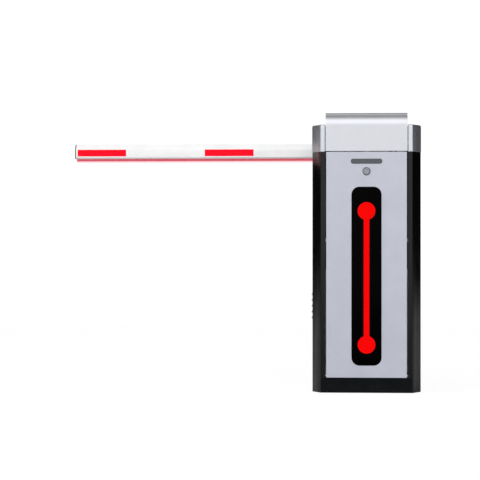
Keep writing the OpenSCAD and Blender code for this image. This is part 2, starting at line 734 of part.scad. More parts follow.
module main_shaft() color([0.7, 0.71, 0.73])
    bar_y([0, arm_y - 3, spindle_z], spindle_r, flange_y + spindle_flange_t - 1 - arm_y + 3);
hook_pin_end = spring_y + 8;
module spring_lever() color([0.5, 0.51, 0.54]) translate([0, 0, spindle_z]) {
    difference() {
        union() {
            slab_y(lever_y, arm_t) rotate(rest_angle) lever(spring_throw, hub_r - 1, eye_r, arm_w);
            bar_y([0, lever_y - 6, 0], hub_r, arm_t + 12);
        }
        bar_y([0, lever_y - 7, 0], spindle_r + run, arm_t + 14);
    }
    at = spring_throw * [cos(rest_angle), 0, sin(rest_angle)];
    bar_y(at + [0, lever_y + arm_t, 0], eye_pin_r, hook_pin_end - lever_y - arm_t);
    bar_y(at + [0, hook_pin_end, 0], eye_pin_r + 3, 3);
}
// The closed-wound body of the spring: its turns as rounds on a thin sleeve
module coil() rotate_extrude() {
    step = (coil_top - coil_bottom) / coil_turns;
    translate([coil_r - 1, 0]) square([2, coil_turns * step]);
    for (i = [0:coil_turns]) translate([coil_r, i * step]) circle(wire_r);
}
spring_plug_r = coil_r - wire_r - slip;
module spring_plug(z, eye, up) translate([spring_x, spring_y, z]) mirror([0, 0, up ? 0 : 1]) {
    translate([0, 0, -24]) cylinder(r = spring_plug_r, h = 27);
    cylinder(r = 4, h = abs(eye - z) - hook_r);
    translate([0, 0, abs(eye - z)]) rotate([90, 0, 0])
        rotate_extrude() translate([hook_r, 0]) circle(wire_r);
}
module balance_spring() color([0.3, 0.31, 0.33]) {
    translate([spring_x, spring_y, coil_bottom]) coil();
    spring_plug(coil_top + 3, spring_top_z, true);
    spring_plug(coil_bottom - 3, eye_z, false);
}
module spring_clevis() color([0.6, 0.6, 0.62]) translate([spring_x, spring_y, 0]) {
    bar_z([0, 0, shelf_z - 14], clevis_stud_r, plate_t + 24);
    for (z = [shelf_z - 7, shelf_z + plate_t]) translate([0, 0, z]) cylinder(r = 9, h = 7, $fn = 6);
    block([-8, -12, shelf_z + plate_t + 7], [8, 12, shelf_z + plate_t + 11]);
    for (y = [-12, 7]) block([-8, y, shelf_z + plate_t + 7], [8, y + 5, eye_z + 8]);
    bar_y([0, -12, eye_z], eye_pin_r, 24);
}
module stop_brackets() color([0.6, 0.6, 0.62]) {
    y1 = rear_face_y - plate_t;
    for (k = [-1, 1]) {
        bar_y([stop_at[0], lever_y - 2, spindle_z + k * stop_at[1]], stop_r, y1 - lever_y + 2);
        bar_y([stop_at[0], y1 - 5, spindle_z + k * stop_at[1]], stop_r + 2, 5);
    }
}
module stop_buffers() color([0.05, 0.05, 0.05]) for (k = [-1, 1])
    translate([stop_at[0], lever_y - 2, spindle_z + k * stop_at[1]]) rotate([-90, 0, 0]) difference() {
        cylinder(r = stop_r + 4, h = arm_t + 4);
        translate([0, 0, -cut]) cylinder(r = stop_r + run, h = arm_t + 4 + 2 * cut);
    }

holder_x1 = boom_root - 2;
web_y = flange_y + spindle_flange_t;
web_inner = web_y + web_t;
boom_front_y = boom_y - boom_d / 2;
boom_rear_y = boom_y + boom_d / 2;
lip_z = boom_h / 2 + slip;
flange_bolts = [for (a = [0:90:270]) flange_bolt_pcd / 2 * [cos(a), sin(a)]];
module spindle_flange() color([0.4, 0.41, 0.43]) difference() {
    union() {
        bar_y([0, flange_y, spindle_z], spindle_flange_r, spindle_flange_t);
        bar_y([0, flange_y - 5, spindle_z], spindle_hub_r, 5 + cut);
    }
    bar_y([0, flange_y - 6, spindle_z], spindle_r + run, spindle_flange_t + 5);
    for (p = flange_bolts)
        bar_y([p[0], flange_y - cut, spindle_z + p[1]], bolt_r + slip, spindle_flange_t + 2 * cut);
}
module boom_holder() color([0.14, 0.145, 0.155]) difference() {
    union() {
        block([holder_x0, web_y, spindle_z - lip_z - holder_t],
            [holder_x1, web_inner, spindle_z + lip_z + holder_t]);
        for (k = [0, 1]) translate([0, 0, spindle_z])
            mirror([0, 0, k]) block([holder_x0, web_inner - cut, lip_z],
                [holder_x1, boom_rear_y + slip, lip_z + holder_t]);
    }
    for (p = flange_bolts) {
        bar_y([p[0], web_y - cut, spindle_z + p[1]], bolt_r + slip, web_t + 2 * cut);
        bar_y([p[0], web_inner - 4.5, spindle_z + p[1]], bolt_r + 3.3, 5);
    }
    for (x = clamp_bolt_x) bar_y([x, web_y - cut, spindle_z], bolt_r + slip, web_t + 2 * cut);
}
clamp_y = boom_rear_y + 2 * slip;
clamp_t = 5;
module boom_clamp_plate() color([0.14, 0.145, 0.155]) difference() {
    block([holder_x0, clamp_y, spindle_z - lip_z - holder_t],
        [holder_x1, clamp_y + clamp_t, spindle_z + lip_z + holder_t]);
    for (x = clamp_bolt_x) bar_y([x, clamp_y - cut, spindle_z], bolt_r + slip, clamp_t + 2 * cut);
}
module boom_bolts() color([0.6, 0.6, 0.62]) {
    for (x = clamp_bolt_x) translate([0, clamp_y + clamp_t, 0]) mirror([0, 1, 0])
        through_bolt([x, 0, spindle_z], clamp_y + clamp_t - web_y);
    for (p = flange_bolts) {
        bar_y([p[0], flange_y - 1, spindle_z + p[1]], bolt_r, web_inner - 4 - flange_y + 1);
        bar_y([p[0], web_inner - 4, spindle_z + p[1]], bolt_r + 3, 3.8);
    }
}
module boom_solid(x0, x1, inset) slab_x(x0, x1 - x0) translate([boom_y, spindle_z])
    polygon(boom_section(inset));
module boom_profile() color([0.93, 0.93, 0.94]) difference() {
    boom_solid(-boom_reach + cap_t, boom_root - cap_t, 0);
    boom_solid(-boom_reach, boom_root, boom_wall);
    for (x = clamp_bolt_x) bar_y([x, boom_front_y - cut, spindle_z], bolt_r + slip, boom_d + 2 * cut);
}
module boom_end_caps() color([0.1, 0.1, 0.11]) {
    boom_solid(-boom_reach, -boom_reach + cap_t, 0);
    boom_solid(-boom_reach, -boom_reach + 14, boom_wall + slip);
    boom_solid(boom_root - cap_t, boom_root, 0);
    boom_solid(boom_root - 12, boom_root, boom_wall + slip);
}
strip_x0 = -boom_reach + 5;
module boom_light_strip() color([0.9, 0.1, 0.15])
    block([strip_x0 + 2, boom_y - strip_w / 2, boom_low - strip_h],
        [strip_root - 2, boom_y + strip_w / 2, boom_low]);
module lip_outline(inset) {
    w = lip_w / 2 - inset;
    r = 5 - inset / 2;
    h = inset > 0 ? strip_h + slip : lip_h;
    translate([-w, -h + r]) square([2 * w, h - r + (inset > 0 ? cut : 0)]);
    translate([-w + r, -h]) square([2 * w - 2 * r, h]);
    for (k = [-1, 1]) translate([k * (w - r), -h + r]) circle(r);
}
module boom_buffer_lip() color([0.95, 0.75, 0.78]) translate([0, boom_y, boom_low]) difference() {
    slab_x(strip_x0, strip_root - strip_x0) lip_outline(0);
    slab_x(strip_x0 + 2 - slip, strip_root - strip_x0 - 4 + 2 * slip)
        translate([-strip_w / 2 - slip, -strip_h - slip])
        square([strip_w + 2 * slip, strip_h + slip + cut]);
}
stripe_in = 10;      // the first stripe starts this far from the boom's end
stripe_x0 = -boom_reach + stripe_in;
stripe_count = floor((boom_reach - stripe_in - abs(holder_x0) - stripe_len) / stripe_pitch) + 1;
module reflective_stripes() color([0.88, 0.08, 0.16])
    for (i = [0:stripe_count - 1], y = [boom_front_y - tape_t, boom_rear_y])
        block([stripe_x0 + i * stripe_pitch, y, stripe_z - stripe_h / 2],
              [stripe_x0 + i * stripe_pitch + stripe_len, y + tape_t, stripe_z + stripe_h / 2]);

case_x = [-95, 75];
case_z = [device_z[0] + 170, side_rail_z - 10];
case_d = 34;
cover_d = 3;
module device_plate() color([0.62, 0.63, 0.65]) difference() {
    block([-plate_x, device_y, device_z[0]], [plate_x, device_y + device_t, device_z[1]]);
    bar_y([worm_x, device_y - cut, cable_z], cord_r + slip, device_t + 2 * cut);
    for (x = [-1, 1], z = device_bolt_z)
        bar_y([x * post_x, device_y - cut, z], bolt_r + slip, device_t + 2 * cut);
}
module controller_case() color([0.75, 0.76, 0.77]) difference() {
    block([case_x[0], device_y - case_d, case_z[0]], [case_x[1], device_y, case_z[1]]);
    block([case_x[0] + 3, device_y - case_d - cut, case_z[0] + 3],
        [case_x[1] - 3, device_y - 3, case_z[1] - 3]);
    bar_y([worm_x, device_y - 4, cable_z], cord_r + slip, 5);
}
module controller_cover() color([0.3, 0.32, 0.35])
    block([case_x[0], device_y - case_d - cover_d, case_z[0]], [case_x[1], device_y - case_d, case_z[1]]);
module power_supply() color([0.55, 0.56, 0.58]) {
    block([-80, device_y - 26, device_z[0] + 20], [30, device_y, device_z[0] + 130]);
    for (i = [0:8]) block([-76 + i * 12, device_y - 34, device_z[0] + 24],
        [-72 + i * 12, device_y - 25, device_z[0] + 126]);
}

module panel_screw(at) {
    bar_y(at - [0, sheet + 6, 0], screw_r, sheet + 6);
    bar_y(at, 2 * screw_r, 2.2);
}
module panel_screws() color([0.6, 0.6, 0.62]) for (x = [-1, 1]) {
    for (z = screw_z) panel_screw([x * screw_x, rear_y, z]);
    panel_screw([x * hood_screw_x, rear_y, hood_screw_z]);
}

module door_hinge_pins() color([0.7, 0.71, 0.73]) both_sides() {
    bar_x([door_w / 2 - 6, hinge_y, hinge_z], pin_r, jamb_x + sheet - door_w / 2 + 6);
    bar_x([jamb_x + sheet, hinge_y, hinge_z], pin_r + 1, 3);
}
lock_flange_r = lock_r + 2;
module door_panel() color([0.72, 0.73, 0.77]) difference() {
    block([-door_w / 2, front_y, door_sill], [door_w / 2, front_y + fold, door_top]);
    block([-door_w / 2 + sheet, front_y + sheet, door_sill + sheet],
        [door_w / 2 - sheet, front_y + fold + cut, door_top - sheet]);
    slab_y(front_y - cut, sheet + 2 * cut) translate([0, window_z])
        rounded(window_w + 2 * slip, window_h + 2 * slip, window_r + slip);
    bar_y([0, front_y - cut, lock_z], lock_r + slip, sheet + 2 * cut);
    bar_x([-door_w, hinge_y, hinge_z], pin_r + run, 2 * door_w);
}
module led_window() color([0.03, 0.03, 0.035]) slab_y(front_y - 0.6, window_t) difference() {
    translate([0, window_z]) rounded(window_w, window_h, window_r);
    lamp_outline(slip);
}
module led_diffuser() color([0.95, 0.05, 0.05]) slab_y(front_y - 0.6, window_t + 2) lamp_outline(0);
case_wall = 2;
board_y = front_y + 13;
module led_housing() color([0.12, 0.12, 0.13]) difference() {
    slab_y(front_y + sheet, lamp_case_d) translate([0, window_z])
        square([lamp_case_w, lamp_case_h], center = true);
    slab_y(front_y + sheet - cut, lamp_case_d - case_wall + cut) translate([0, window_z])
        square([lamp_case_w - 2 * case_wall, lamp_case_h - 2 * case_wall], center = true);
}
module led_board() color([0.05, 0.3, 0.15]) slab_y(board_y, 1.6) translate([0, window_z])
    square([lamp_case_w - 2 * case_wall - 2 * slip, lamp_case_h - 2 * case_wall - 2 * slip], center = true);
badge_z = lock_z + 36;
badge_w = 112;
badge_h = 18;
module name_badge() color([0.5, 0.51, 0.55]) slab_y(front_y - 1.2, 1.2) translate([0, badge_z])
    rounded(badge_w, badge_h, badge_h / 2 - 1);
module lock_body() color([0.65, 0.66, 0.68]) difference() {
    union() {
        bar_y([0, front_y - 2, lock_z], lock_flange_r, 2);
        bar_y([0, front_y - 1, lock_z], lock_r, 20);
        bar_y([0, front_y + sheet, lock_z], lock_r + 3, 4);
    }
    bar_y([0, front_y - 3, lock_z], plug_r + run, 24);
}
cam_y = lintel_y + 3 + slip;
cam_len = lintel_z + 8 - lock_z;
module lock_plug() color([0.6, 0.61, 0.63]) {
    difference() {
        bar_y([0, front_y - 2.4, lock_z], plug_r, cam_y - front_y + 2.4);
        block([-0.8, front_y - 3, lock_z - 3.5], [0.8, front_y + 1, lock_z + 3.5]);
    }
    slab_y(cam_y, cam_t) translate([0, lock_z]) lever(cam_len - cam_w / 2, cam_w / 2 + 2, cam_w / 2, cam_w);
}

base_plate();
left_side_panel();
right_side_panel();
kick_plate();
front_lintel();
rear_panel();
left_shoulder();
right_shoulder();
hood();
core_frame();
front_mech_plate();
rear_mech_plate();
machine_bolts();
bearing_housings();
shaft_bearings();
bearing_inner_races();
gearbox_housing();
gearbox_cover();
motor_housing();
motor_end_bell();
motor_terminal_box();
motor_cable();
stop_brackets();
stop_buffers();
balance_spring();
spring_clevis();
shaft_seal();
device_plate();
controller_case();
controller_cover();
power_supply();
panel_screws();
door_hinge_pins();
main_shaft();
rocker_arm();
spring_lever();
spindle_flange();
boom_holder();
boom_clamp_plate();
boom_bolts();
boom_profile();
boom_end_caps();
boom_light_strip();
boom_buffer_lip();
reflective_stripes();
output_shaft();
worm_wheel();
crank_arm();
connecting_rod();
rod_ends();
worm_shaft();
handwheel();
door_panel();
led_window();
led_diffuser();
led_board();
led_housing();
name_badge();
lock_body();
lock_plug();
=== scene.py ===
import json
import math

import bmesh
import bpy
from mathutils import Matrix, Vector


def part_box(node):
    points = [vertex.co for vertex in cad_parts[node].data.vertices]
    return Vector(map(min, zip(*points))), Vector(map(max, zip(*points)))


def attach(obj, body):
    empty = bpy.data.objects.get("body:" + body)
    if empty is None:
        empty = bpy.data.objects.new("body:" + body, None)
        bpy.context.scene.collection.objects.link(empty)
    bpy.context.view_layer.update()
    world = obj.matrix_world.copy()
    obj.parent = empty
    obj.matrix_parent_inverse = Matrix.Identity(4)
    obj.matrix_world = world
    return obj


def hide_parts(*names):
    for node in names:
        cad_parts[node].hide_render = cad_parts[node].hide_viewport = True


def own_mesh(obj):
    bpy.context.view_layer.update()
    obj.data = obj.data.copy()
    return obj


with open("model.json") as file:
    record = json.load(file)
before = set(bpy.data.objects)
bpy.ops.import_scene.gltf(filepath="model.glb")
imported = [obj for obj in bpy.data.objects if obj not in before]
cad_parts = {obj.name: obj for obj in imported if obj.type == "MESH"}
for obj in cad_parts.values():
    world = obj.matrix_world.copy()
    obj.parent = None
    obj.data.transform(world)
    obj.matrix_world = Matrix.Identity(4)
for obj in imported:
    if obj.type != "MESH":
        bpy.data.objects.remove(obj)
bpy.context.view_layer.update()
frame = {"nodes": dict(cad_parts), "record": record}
nodes = frame["nodes"]
scene = bpy.context.scene
print("frame loaded:", len(nodes), "CAD pieces")


def mid(node):
    low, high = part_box(node)
    return (Vector(low) + Vector(high)) / 2


def hinge(name):
    # the point that a joint turns about
    joint = next(j for j in frame["record"]["behaviour"]["joints"] if j["name"] == name)
    return Vector(joint["pos_m"])


def addNode(tree, kind, **settings):
    node = tree.nodes.new(kind)
    for key, value in settings.items():
        setattr(node, key, value)
    return node


def mathNode(tree, operation, first, second=None, clamp=False):
    node = addNode(tree, "ShaderNodeMath", operation=operation, use_clamp=clamp)
    for socket, value in zip(node.inputs, (first, second)):
        if value is None:
            continue
        if isinstance(value, (int, float)):
            socket.default_value = value
        else:
            tree.links.new(value, socket)
    return node.outputs[0]


def times(tree, first, second, clamp=False):
    return mathNode(tree, "MULTIPLY", first, second, clamp)


def feed(tree, node, **sources):
    for label, source in sources.items():
        tree.links.new(source, node.inputs[label.replace("_", " ")])


def vectorNode(tree, operation, first, second=None):
    node = addNode(tree, "ShaderNodeVectorMath", operation=operation)
    tree.links.new(first, node.inputs[0])
    if isinstance(second, (tuple, Vector)):
        node.inputs[1].default_value = second
    elif second is not None:
        tree.links.new(second, node.inputs[1])
    return node.outputs["Value" if operation in ("LENGTH", "DOT_PRODUCT") else "Vector"]


def mixColor(tree, factor, first, second):
    node = addNode(tree, "ShaderNodeMix", data_type="RGBA")
    for index, value in ((0, factor), (6, first), (7, second)):
        socket = node.inputs[index]
        if isinstance(value, (int, float)):
            socket.default_value = value
        elif isinstance(value, (tuple, list)):
            socket.default_value = (*value[:3], 1)
        else:
            tree.links.new(value, socket)
    return node.outputs[2]


def remap(tree, value, fromLow, fromHigh, toLow=0.0, toHigh=1.0):
    node = addNode(tree, "ShaderNodeMapRange", clamp=True)
    tree.links.new(value, node.inputs[0])
    for socket, number in zip(list(node.inputs)[1:5], (fromLow, fromHigh, toLow, toHigh)):
        if isinstance(number, (int, float)):
            socket.default_value = number
        else:
            tree.links.new(number, socket)
    return node.outputs[0]


def noise(tree, vector, scale, detail=4.0, roughness=0.5):
    node = addNode(tree, "ShaderNodeTexNoise")
    tree.links.new(vector, node.inputs["Vector"])
    for name, value in (("Scale", scale), ("Detail", detail), ("Roughness", roughness)):
        if isinstance(value, (int, float)):
            node.inputs[name].default_value = value
        else:
            tree.links.new(value, node.inputs[name])
    return node.outputs["Fac"]


def ownSpace(tree):
    # the piece's own coordinates, so that its texture moves with it
    return addNode(tree, "ShaderNodeTexCoord").outputs["Object"]


def splitAxes(tree, vector):
    node = addNode(tree, "ShaderNodeSeparateXYZ")
    tree.links.new(vector, node.inputs[0])
    return node.outputs


def newGroup(name, inputs, outputs):
    group = bpy.data.node_groups.new(name, "ShaderNodeTree")
    for label, kind, default in inputs:
        socket = group.interface.new_socket(label, in_out="INPUT", socket_type="NodeSocket" + kind)
        socket.default_value = (*default, 1) if kind == "Color" else default
    for label, kind in outputs:
        group.interface.new_socket(label, in_out="OUTPUT", socket_type="NodeSocket" + kind)
    return group, group.nodes.new("NodeGroupInput"), group.nodes.new("NodeGroupOutput")


def makePaintTexture():
    # fine orange peel of sprayed or powder-coated metal, with tiny lighter flecks
    group, given, out = newGroup(
        "paintTexture",
        [("Grain Size", "Float", 0.002), ("Fleck Size", "Float", 0.0006)],
        [("Height", "Float"), ("Flecks", "Float"), ("Clouds", "Float")],
    )
    spot = ownSpace(group)
    peelScale = mathNode(group, "DIVIDE", 1.0, given.outputs["Grain Size"])
    fleckScale = mathNode(group, "DIVIDE", 1.0, given.outputs["Fleck Size"])
    peel = noise(group, spot, peelScale, 3.0, 0.55)
    flecks = addNode(group, "ShaderNodeTexVoronoi", feature="F1")
    feed(group, flecks, Vector=spot, Scale=fleckScale)
    tint = addNode(group, "ShaderNodeSeparateColor")
    group.links.new(flecks.outputs["Color"], tint.inputs[0])
    sparse = remap(group, tint.outputs[0], 0.55, 1.0)
    feed(group, out, Height=peel, Flecks=sparse, Clouds=noise(group, spot, 9.0, 5.0, 0.6))
    return group


def makeEdgeWear():
    # rubbed and chipped edges: where a wide bevel's normal leaves the face's own
    group, given, out = newGroup(
        "edgeWear",
        [
            ("Color", "Color", (0.5, 0.5, 0.5)),
            ("Worn Color", "Color", (0.6, 0.6, 0.6)),
            ("Width", "Float", 0.0015),
            ("Amount", "Float", 0.5),
        ],
        [("Color", "Color"), ("Mask", "Float")],
    )
    soft = addNode(group, "ShaderNodeBevel", samples=4)
    group.links.new(given.outputs["Width"], soft.inputs["Radius"])
    shape = addNode(group, "ShaderNodeNewGeometry")
    turn = vectorNode(group, "DOT_PRODUCT", soft.outputs[0], shape.outputs["True Normal"])
    spot = ownSpace(group)
    chips = noise(group, spot, 260.0, 6.0, 0.65)
    edge = remap(group, turn, 0.995, 0.86)
    broken = times(group, edge, remap(group, chips, 0.42, 0.62))
    mask = times(group, broken, given.outputs["Amount"], clamp=True)
    color = mixColor(group, mask, given.outputs["Color"], given.outputs["Worn Color"])
    feed(group, out, Mask=mask, Color=color)
    return group


def makeDust():
    # road dust: thicker near the ground and on faces that look up
    group, given, out = newGroup(
        "roadDust",
        [
            ("Color", "Color", (0.5, 0.5, 0.5)),
            ("Dust Color", "Color", (0.42, 0.39, 0.35)),
            ("Top", "Float", 0.25),
            ("Amount", "Float", 0.25),
        ],
        [("Color", "Color"), ("Mask", "Float")],
    )
    shape = addNode(group, "ShaderNodeNewGeometry")
    spot = ownSpace(group)
    height, facing = splitAxes(group, spot)[2], splitAxes(group, shape.outputs["Normal"])[2]
    low = remap(group, height, given.outputs["Top"], 0.0)
    up = times(group, remap(group, facing, 0.5, 1.0), 0.5)
    both = mathNode(group, "MAXIMUM", mathNode(group, "POWER", low, 1.6), up)
    patchy = times(group, both, remap(group, noise(group, spot, 38.0, 8.0, 0.7), 0.3, 0.75))
    mask = times(group, patchy, given.outputs["Amount"], clamp=True)
    color = mixColor(group, mask, given.outputs["Color"], given.outputs["Dust Color"])
    feed(group, out, Mask=mask, Color=color)
    return group


def makeBrushedGrain():
    # long fine lines of ground or drawn metal, along one axis, and a few stray scratches
    group, given, out = newGroup(
        "brushedGrain",
        [("Stretch", "Vector", (4.0, 900.0, 900.0))],
        [("Lines", "Float"), ("Scratches", "Float")],
    )
    stretched = vectorNode(group, "MULTIPLY", ownSpace(group), given.outputs["Stretch"])
    lines = noise(group, stretched, 1.0, 6.0, 0.7)
    sparse = noise(group, stretched, 0.35, 2.0, 0.5)
    feed(group, out, Lines=lines, Scratches=remap(group, sparse, 0.68, 0.74))
    return group


effects = {
    "paintTexture": makePaintTexture(),
    "edgeWear": makeEdgeWear(),
    "roadDust": makeDust(),
    "brushedGrain": makeBrushedGrain(),
}
print("shared effects built")


def place(tree, effect, **values):
    node = addNode(tree, "ShaderNodeGroup", node_tree=effects[effect])
    for label, value in values.items():
        socket = node.inputs[label.replace("_", " ")]
        if isinstance(value, bpy.types.NodeSocket):
            tree.links.new(value, socket)
        elif socket.type == "RGBA":
            socket.default_value = (*value, 1)
        else:
            socket.default_value = value
    return node.outputs


def newMaterial(name, **shaderValues):
    material = bpy.data.materials.new(name)
    material.use_nodes = True
    tree = material.node_tree
    shader = tree.nodes["Principled BSDF"]
    for label, value in shaderValues.items():
        socket = shader.inputs[label.replace("_", " ")]
        socket.default_value = value
    return material, tree, shader


def bumpFrom(tree, shader, height, strength, distance):
    bump = addNode(tree, "ShaderNodeBump")
    bump.inputs["Strength"].default_value = strength
    bump.inputs["Distance"].default_value = distance
    tree.links.new(height, bump.inputs["Height"])
    tree.links.new(bump.outputs[0], shader.inputs["Normal"])


def paint(name, color, roughness=0.4, metallic=0.0, coat=0.0, grain=0.002, peel=0.12, flecks=0.06,
          worn=(0.35, 0.35, 0.36), wear=0.35, dust=0.2, dustTop=0.3, specular=0.5):
    # sprayed or powder-coated sheet, worn along its edges
    material, tree, shader = newMaterial(name, Metallic=metallic, Coat_Weight=coat,
                                         Coat_Roughness=0.12, Specular_IOR_Level=specular)
    skin = place(tree, "paintTexture", Grain_Size=grain)
    lighter = tuple(min(1.0, c * 1.35 + 0.01) for c in color)
    darker = tuple(c * 0.9 for c in color)
    base = mixColor(tree, remap(tree, skin["Clouds"], 0.3, 0.7), darker, color)
    speckled = mixColor(tree, times(tree, skin["Flecks"], flecks), base, lighter)
    edges = place(tree, "edgeWear", Color=speckled, Worn_Color=worn, Amount=wear)
    film = place(tree, "roadDust", Color=edges["Color"], Amount=dust, Top=dustTop)
    rough = remap(tree, skin["Clouds"], 0.25, 0.75, roughness - 0.04, roughness + 0.05)
    dusty = mathNode(tree, "ADD", rough, times(tree, film["Mask"], 0.4), clamp=True)
    feed(tree, shader, Base_Color=film["Color"], Roughness=dusty)
    bumpFrom(tree, shader, skin["Height"], peel, 0.0004)
    return material


def bareMetal(name, color, roughness=0.3, stretch=(4.0, 900.0, 900.0), dull=(0.25, 0.24, 0.22),
              stain=0.25):
    # bare metal with ground lines, stray scratches and dull patches
    material, tree, shader = newMaterial(name, Metallic=1.0)
    grain = place(tree, "brushedGrain", Stretch=stretch)
    skin = place(tree, "paintTexture", Grain_Size=0.004)
    lined = mixColor(tree, remap(tree, grain["Lines"], 0.3, 0.7), tuple(c * 0.86 for c in color),
                     color)
    scored = mixColor(tree, times(tree, grain["Scratches"], 0.35), lined, (0.9, 0.9, 0.9))
    patches = times(tree, remap(tree, skin["Clouds"], 0.52, 0.72), stain)
    stained = mixColor(tree, patches, scored, dull)
    rough = remap(tree, grain["Lines"], 0.3, 0.7, roughness - 0.06, roughness + 0.08)
    duller = mathNode(tree, "ADD", rough, times(tree, patches, 0.5), clamp=True)
    feed(tree, shader, Base_Color=stained, Roughness=duller)
    bumpFrom(tree, shader, grain["Lines"], 0.15, 0.0002)
    return material


def mouldedPlastic(name, color, roughness=0.45, grain=0.0012, texture=0.25, dust=0.1, coat=0.0):
    # plastic or rubber with the fine texture of its mould
    material, tree, shader = newMaterial(name, Coat_Weight=coat, Coat_Roughness=0.08)
    skin = place(tree, "paintTexture", Grain_Size=grain)
    base = mixColor(tree, remap(tree, skin["Clouds"], 0.3, 0.7), tuple(c * 0.88 for c in color),
                    color)
    edges = place(tree, "edgeWear", Color=base,
                  Worn_Color=tuple(min(1, c * 1.5 + 0.03) for c in color),
                  Amount=0.4, Width=0.001)
    film = place(tree, "roadDust", Color=edges["Color"], Amount=dust)
    rough = remap(tree, skin["Height"], 0.3, 0.7, roughness - 0.06, roughness + 0.08)
    feed(tree, shader, Base_Color=film["Color"], Roughness=rough)
    bumpFrom(tree, shader, skin["Height"], texture, 0.0003)
    return material


def litAcrylic(name, color, glow, strength, dotPitch, dotShare=0.25):
    # a lit lamp: brighter spots where its light-emitting chips sit behind the diffuser
    material, tree, shader = newMaterial(name, Roughness=0.4, Emission_Strength=strength,
                                         Specular_IOR_Level=0.01)
    spot = ownSpace(tree)
    cells = vectorNode(tree, "FRACTION", vectorNode(tree, "MULTIPLY", spot, (1 / dotPitch,) * 3))
    middle = vectorNode(tree, "SUBTRACT", cells, (0.5, 0.5, 0.5))
    away = vectorNode(tree, "LENGTH", vectorNode(tree, "MULTIPLY", middle, (1, 0, 1)))
    dots = remap(tree, away, 0.5, 0.05)
    milky = noise(tree, spot, 140.0, 4.0)
    warm = mixColor(tree, times(tree, dots, dotShare), glow, tuple(min(1, c + 0.12) for c in glow))
    cool = mixColor(tree, remap(tree, milky, 0.3, 0.7, 0.0, 0.12), warm, color)
    body = mixColor(tree, remap(tree, milky, 0.35, 0.65), color, tuple(c * 0.8 for c in color))
    feed(tree, shader, Emission_Color=cool, Base_Color=body)
    bumpFrom(tree, shader, milky, 0.06, 0.0004)
    return material


def filmWithPaintedGlow(name, color):
    # retro-reflective film: sealed diamond cells with a thin paler net between them, and a faint
    # painted glow in its own colour that stands in for the light it sends back
    material, tree, shader = newMaterial(name, Specular_IOR_Level=0.04, Emission_Strength=0.16)
    spot = ownSpace(tree)
    turned = addNode(tree, "ShaderNodeMapping")
    turned.inputs["Rotation"].default_value = (0, math.radians(45), 0)
    turned.inputs["Scale"].default_value = (170, 170, 170)
    tree.links.new(spot, turned.inputs[0])
    parts = splitAxes(tree, turned.outputs[0])
    net = None
    for axis in (0, 2):
        wave = mathNode(tree, "PINGPONG", parts[axis], 0.5)
        line = remap(tree, wave, 0.07, 0.02)
        net = line if net is None else mathNode(tree, "MAXIMUM", net, line)
    prisms = addNode(tree, "ShaderNodeTexVoronoi", feature="F1")
    prisms.inputs["Scale"].default_value = 900
    tree.links.new(spot, prisms.inputs["Vector"])
    glint = addNode(tree, "ShaderNodeSeparateColor")
    tree.links.new(prisms.outputs["Color"], glint.inputs[0])
    deep = mixColor(tree, remap(tree, glint.outputs[0], 0.0, 1.0, 0.0, 0.25), color,
                    tuple(c * 0.7 for c in color))
    netted = mixColor(tree, times(tree, net, 0.12), deep, (0.95, 0.06, 0.1))
    film = place(tree, "roadDust", Color=netted, Amount=0.05, Top=0.2)
    rough = remap(tree, glint.outputs[1], 0.0, 1.0, 0.22, 0.38)
    # painted glow: the film's own colour is also emitted, in place of its reflected light
    feed(tree, shader, Base_Color=film["Color"], Emission_Color=film["Color"], Roughness=rough)
    bumpFrom(tree, shader, net, 0.3, 0.0002)
    return material


def darkAcrylic(name):
    # smoked glossy cover with faint smears
    material, tree, shader = newMaterial(name, Specular_IOR_Level=0.012)
    spot = ownSpace(tree)
    smear = noise(tree, spot, 6.0, 6.0, 0.65)
    film = place(tree, "roadDust", Color=(0.0006, 0.0006, 0.0007), Amount=0.002, Top=0.4)
    edges = place(tree, "edgeWear", Color=film["Color"], Worn_Color=(0.03, 0.03, 0.035), Amount=0.5)
    rough = remap(tree, smear, 0.35, 0.7, 0.05, 0.16)
    feed(tree, shader, Base_Color=edges["Color"], Roughness=rough)
    bumpFrom(tree, shader, noise(tree, spot, 30.0, 2.0), 0.02, 0.001)
    return material


def paintedGlowLip(name, color, glow):
    # clear lip whose emission is a painted glow standing in for the lamp's light carried down to
    # its edge: deep red above, paling to near white at the lower edge as a painted highlight
    material, tree, shader = newMaterial(name, Roughness=0.5, Emission_Strength=0.95,
                                         Specular_IOR_Level=0.05)
    spot = ownSpace(tree)
    low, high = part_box("boom_buffer_lip")
    height = remap(tree, splitAxes(tree, spot)[2], low[2], high[2])
    # painted glow by height: near white at the bottom as a painted highlight, deep red towards the
    # top
    paintedGlowRamp = addNode(tree, "ShaderNodeValToRGB")
    ramp = paintedGlowRamp.color_ramp.elements
    ramp[0].color = (1.0, 0.88, 0.89, 1)
    ramp[1].color = (*glow, 1)
    for position, shade in ((0.32, (1.0, 0.62, 0.66)), (0.44, color), (0.55, glow)):
        step = ramp.new(position)
        step.color = (*shade, 1)
    tree.links.new(height, paintedGlowRamp.inputs[0])
    cloudy = noise(tree, spot, 60.0, 4.0)
    milky = mixColor(tree, remap(tree, cloudy, 0.35, 0.7, 0.0, 0.06), paintedGlowRamp.outputs[0],
                     (1.0, 0.9, 0.9))
    feed(tree, shader, Emission_Color=milky, Base_Color=mixColor(tree, 0.9, milky, (0, 0, 0)))
    bumpFrom(tree, shader, cloudy, 0.1, 0.0005)
    return material


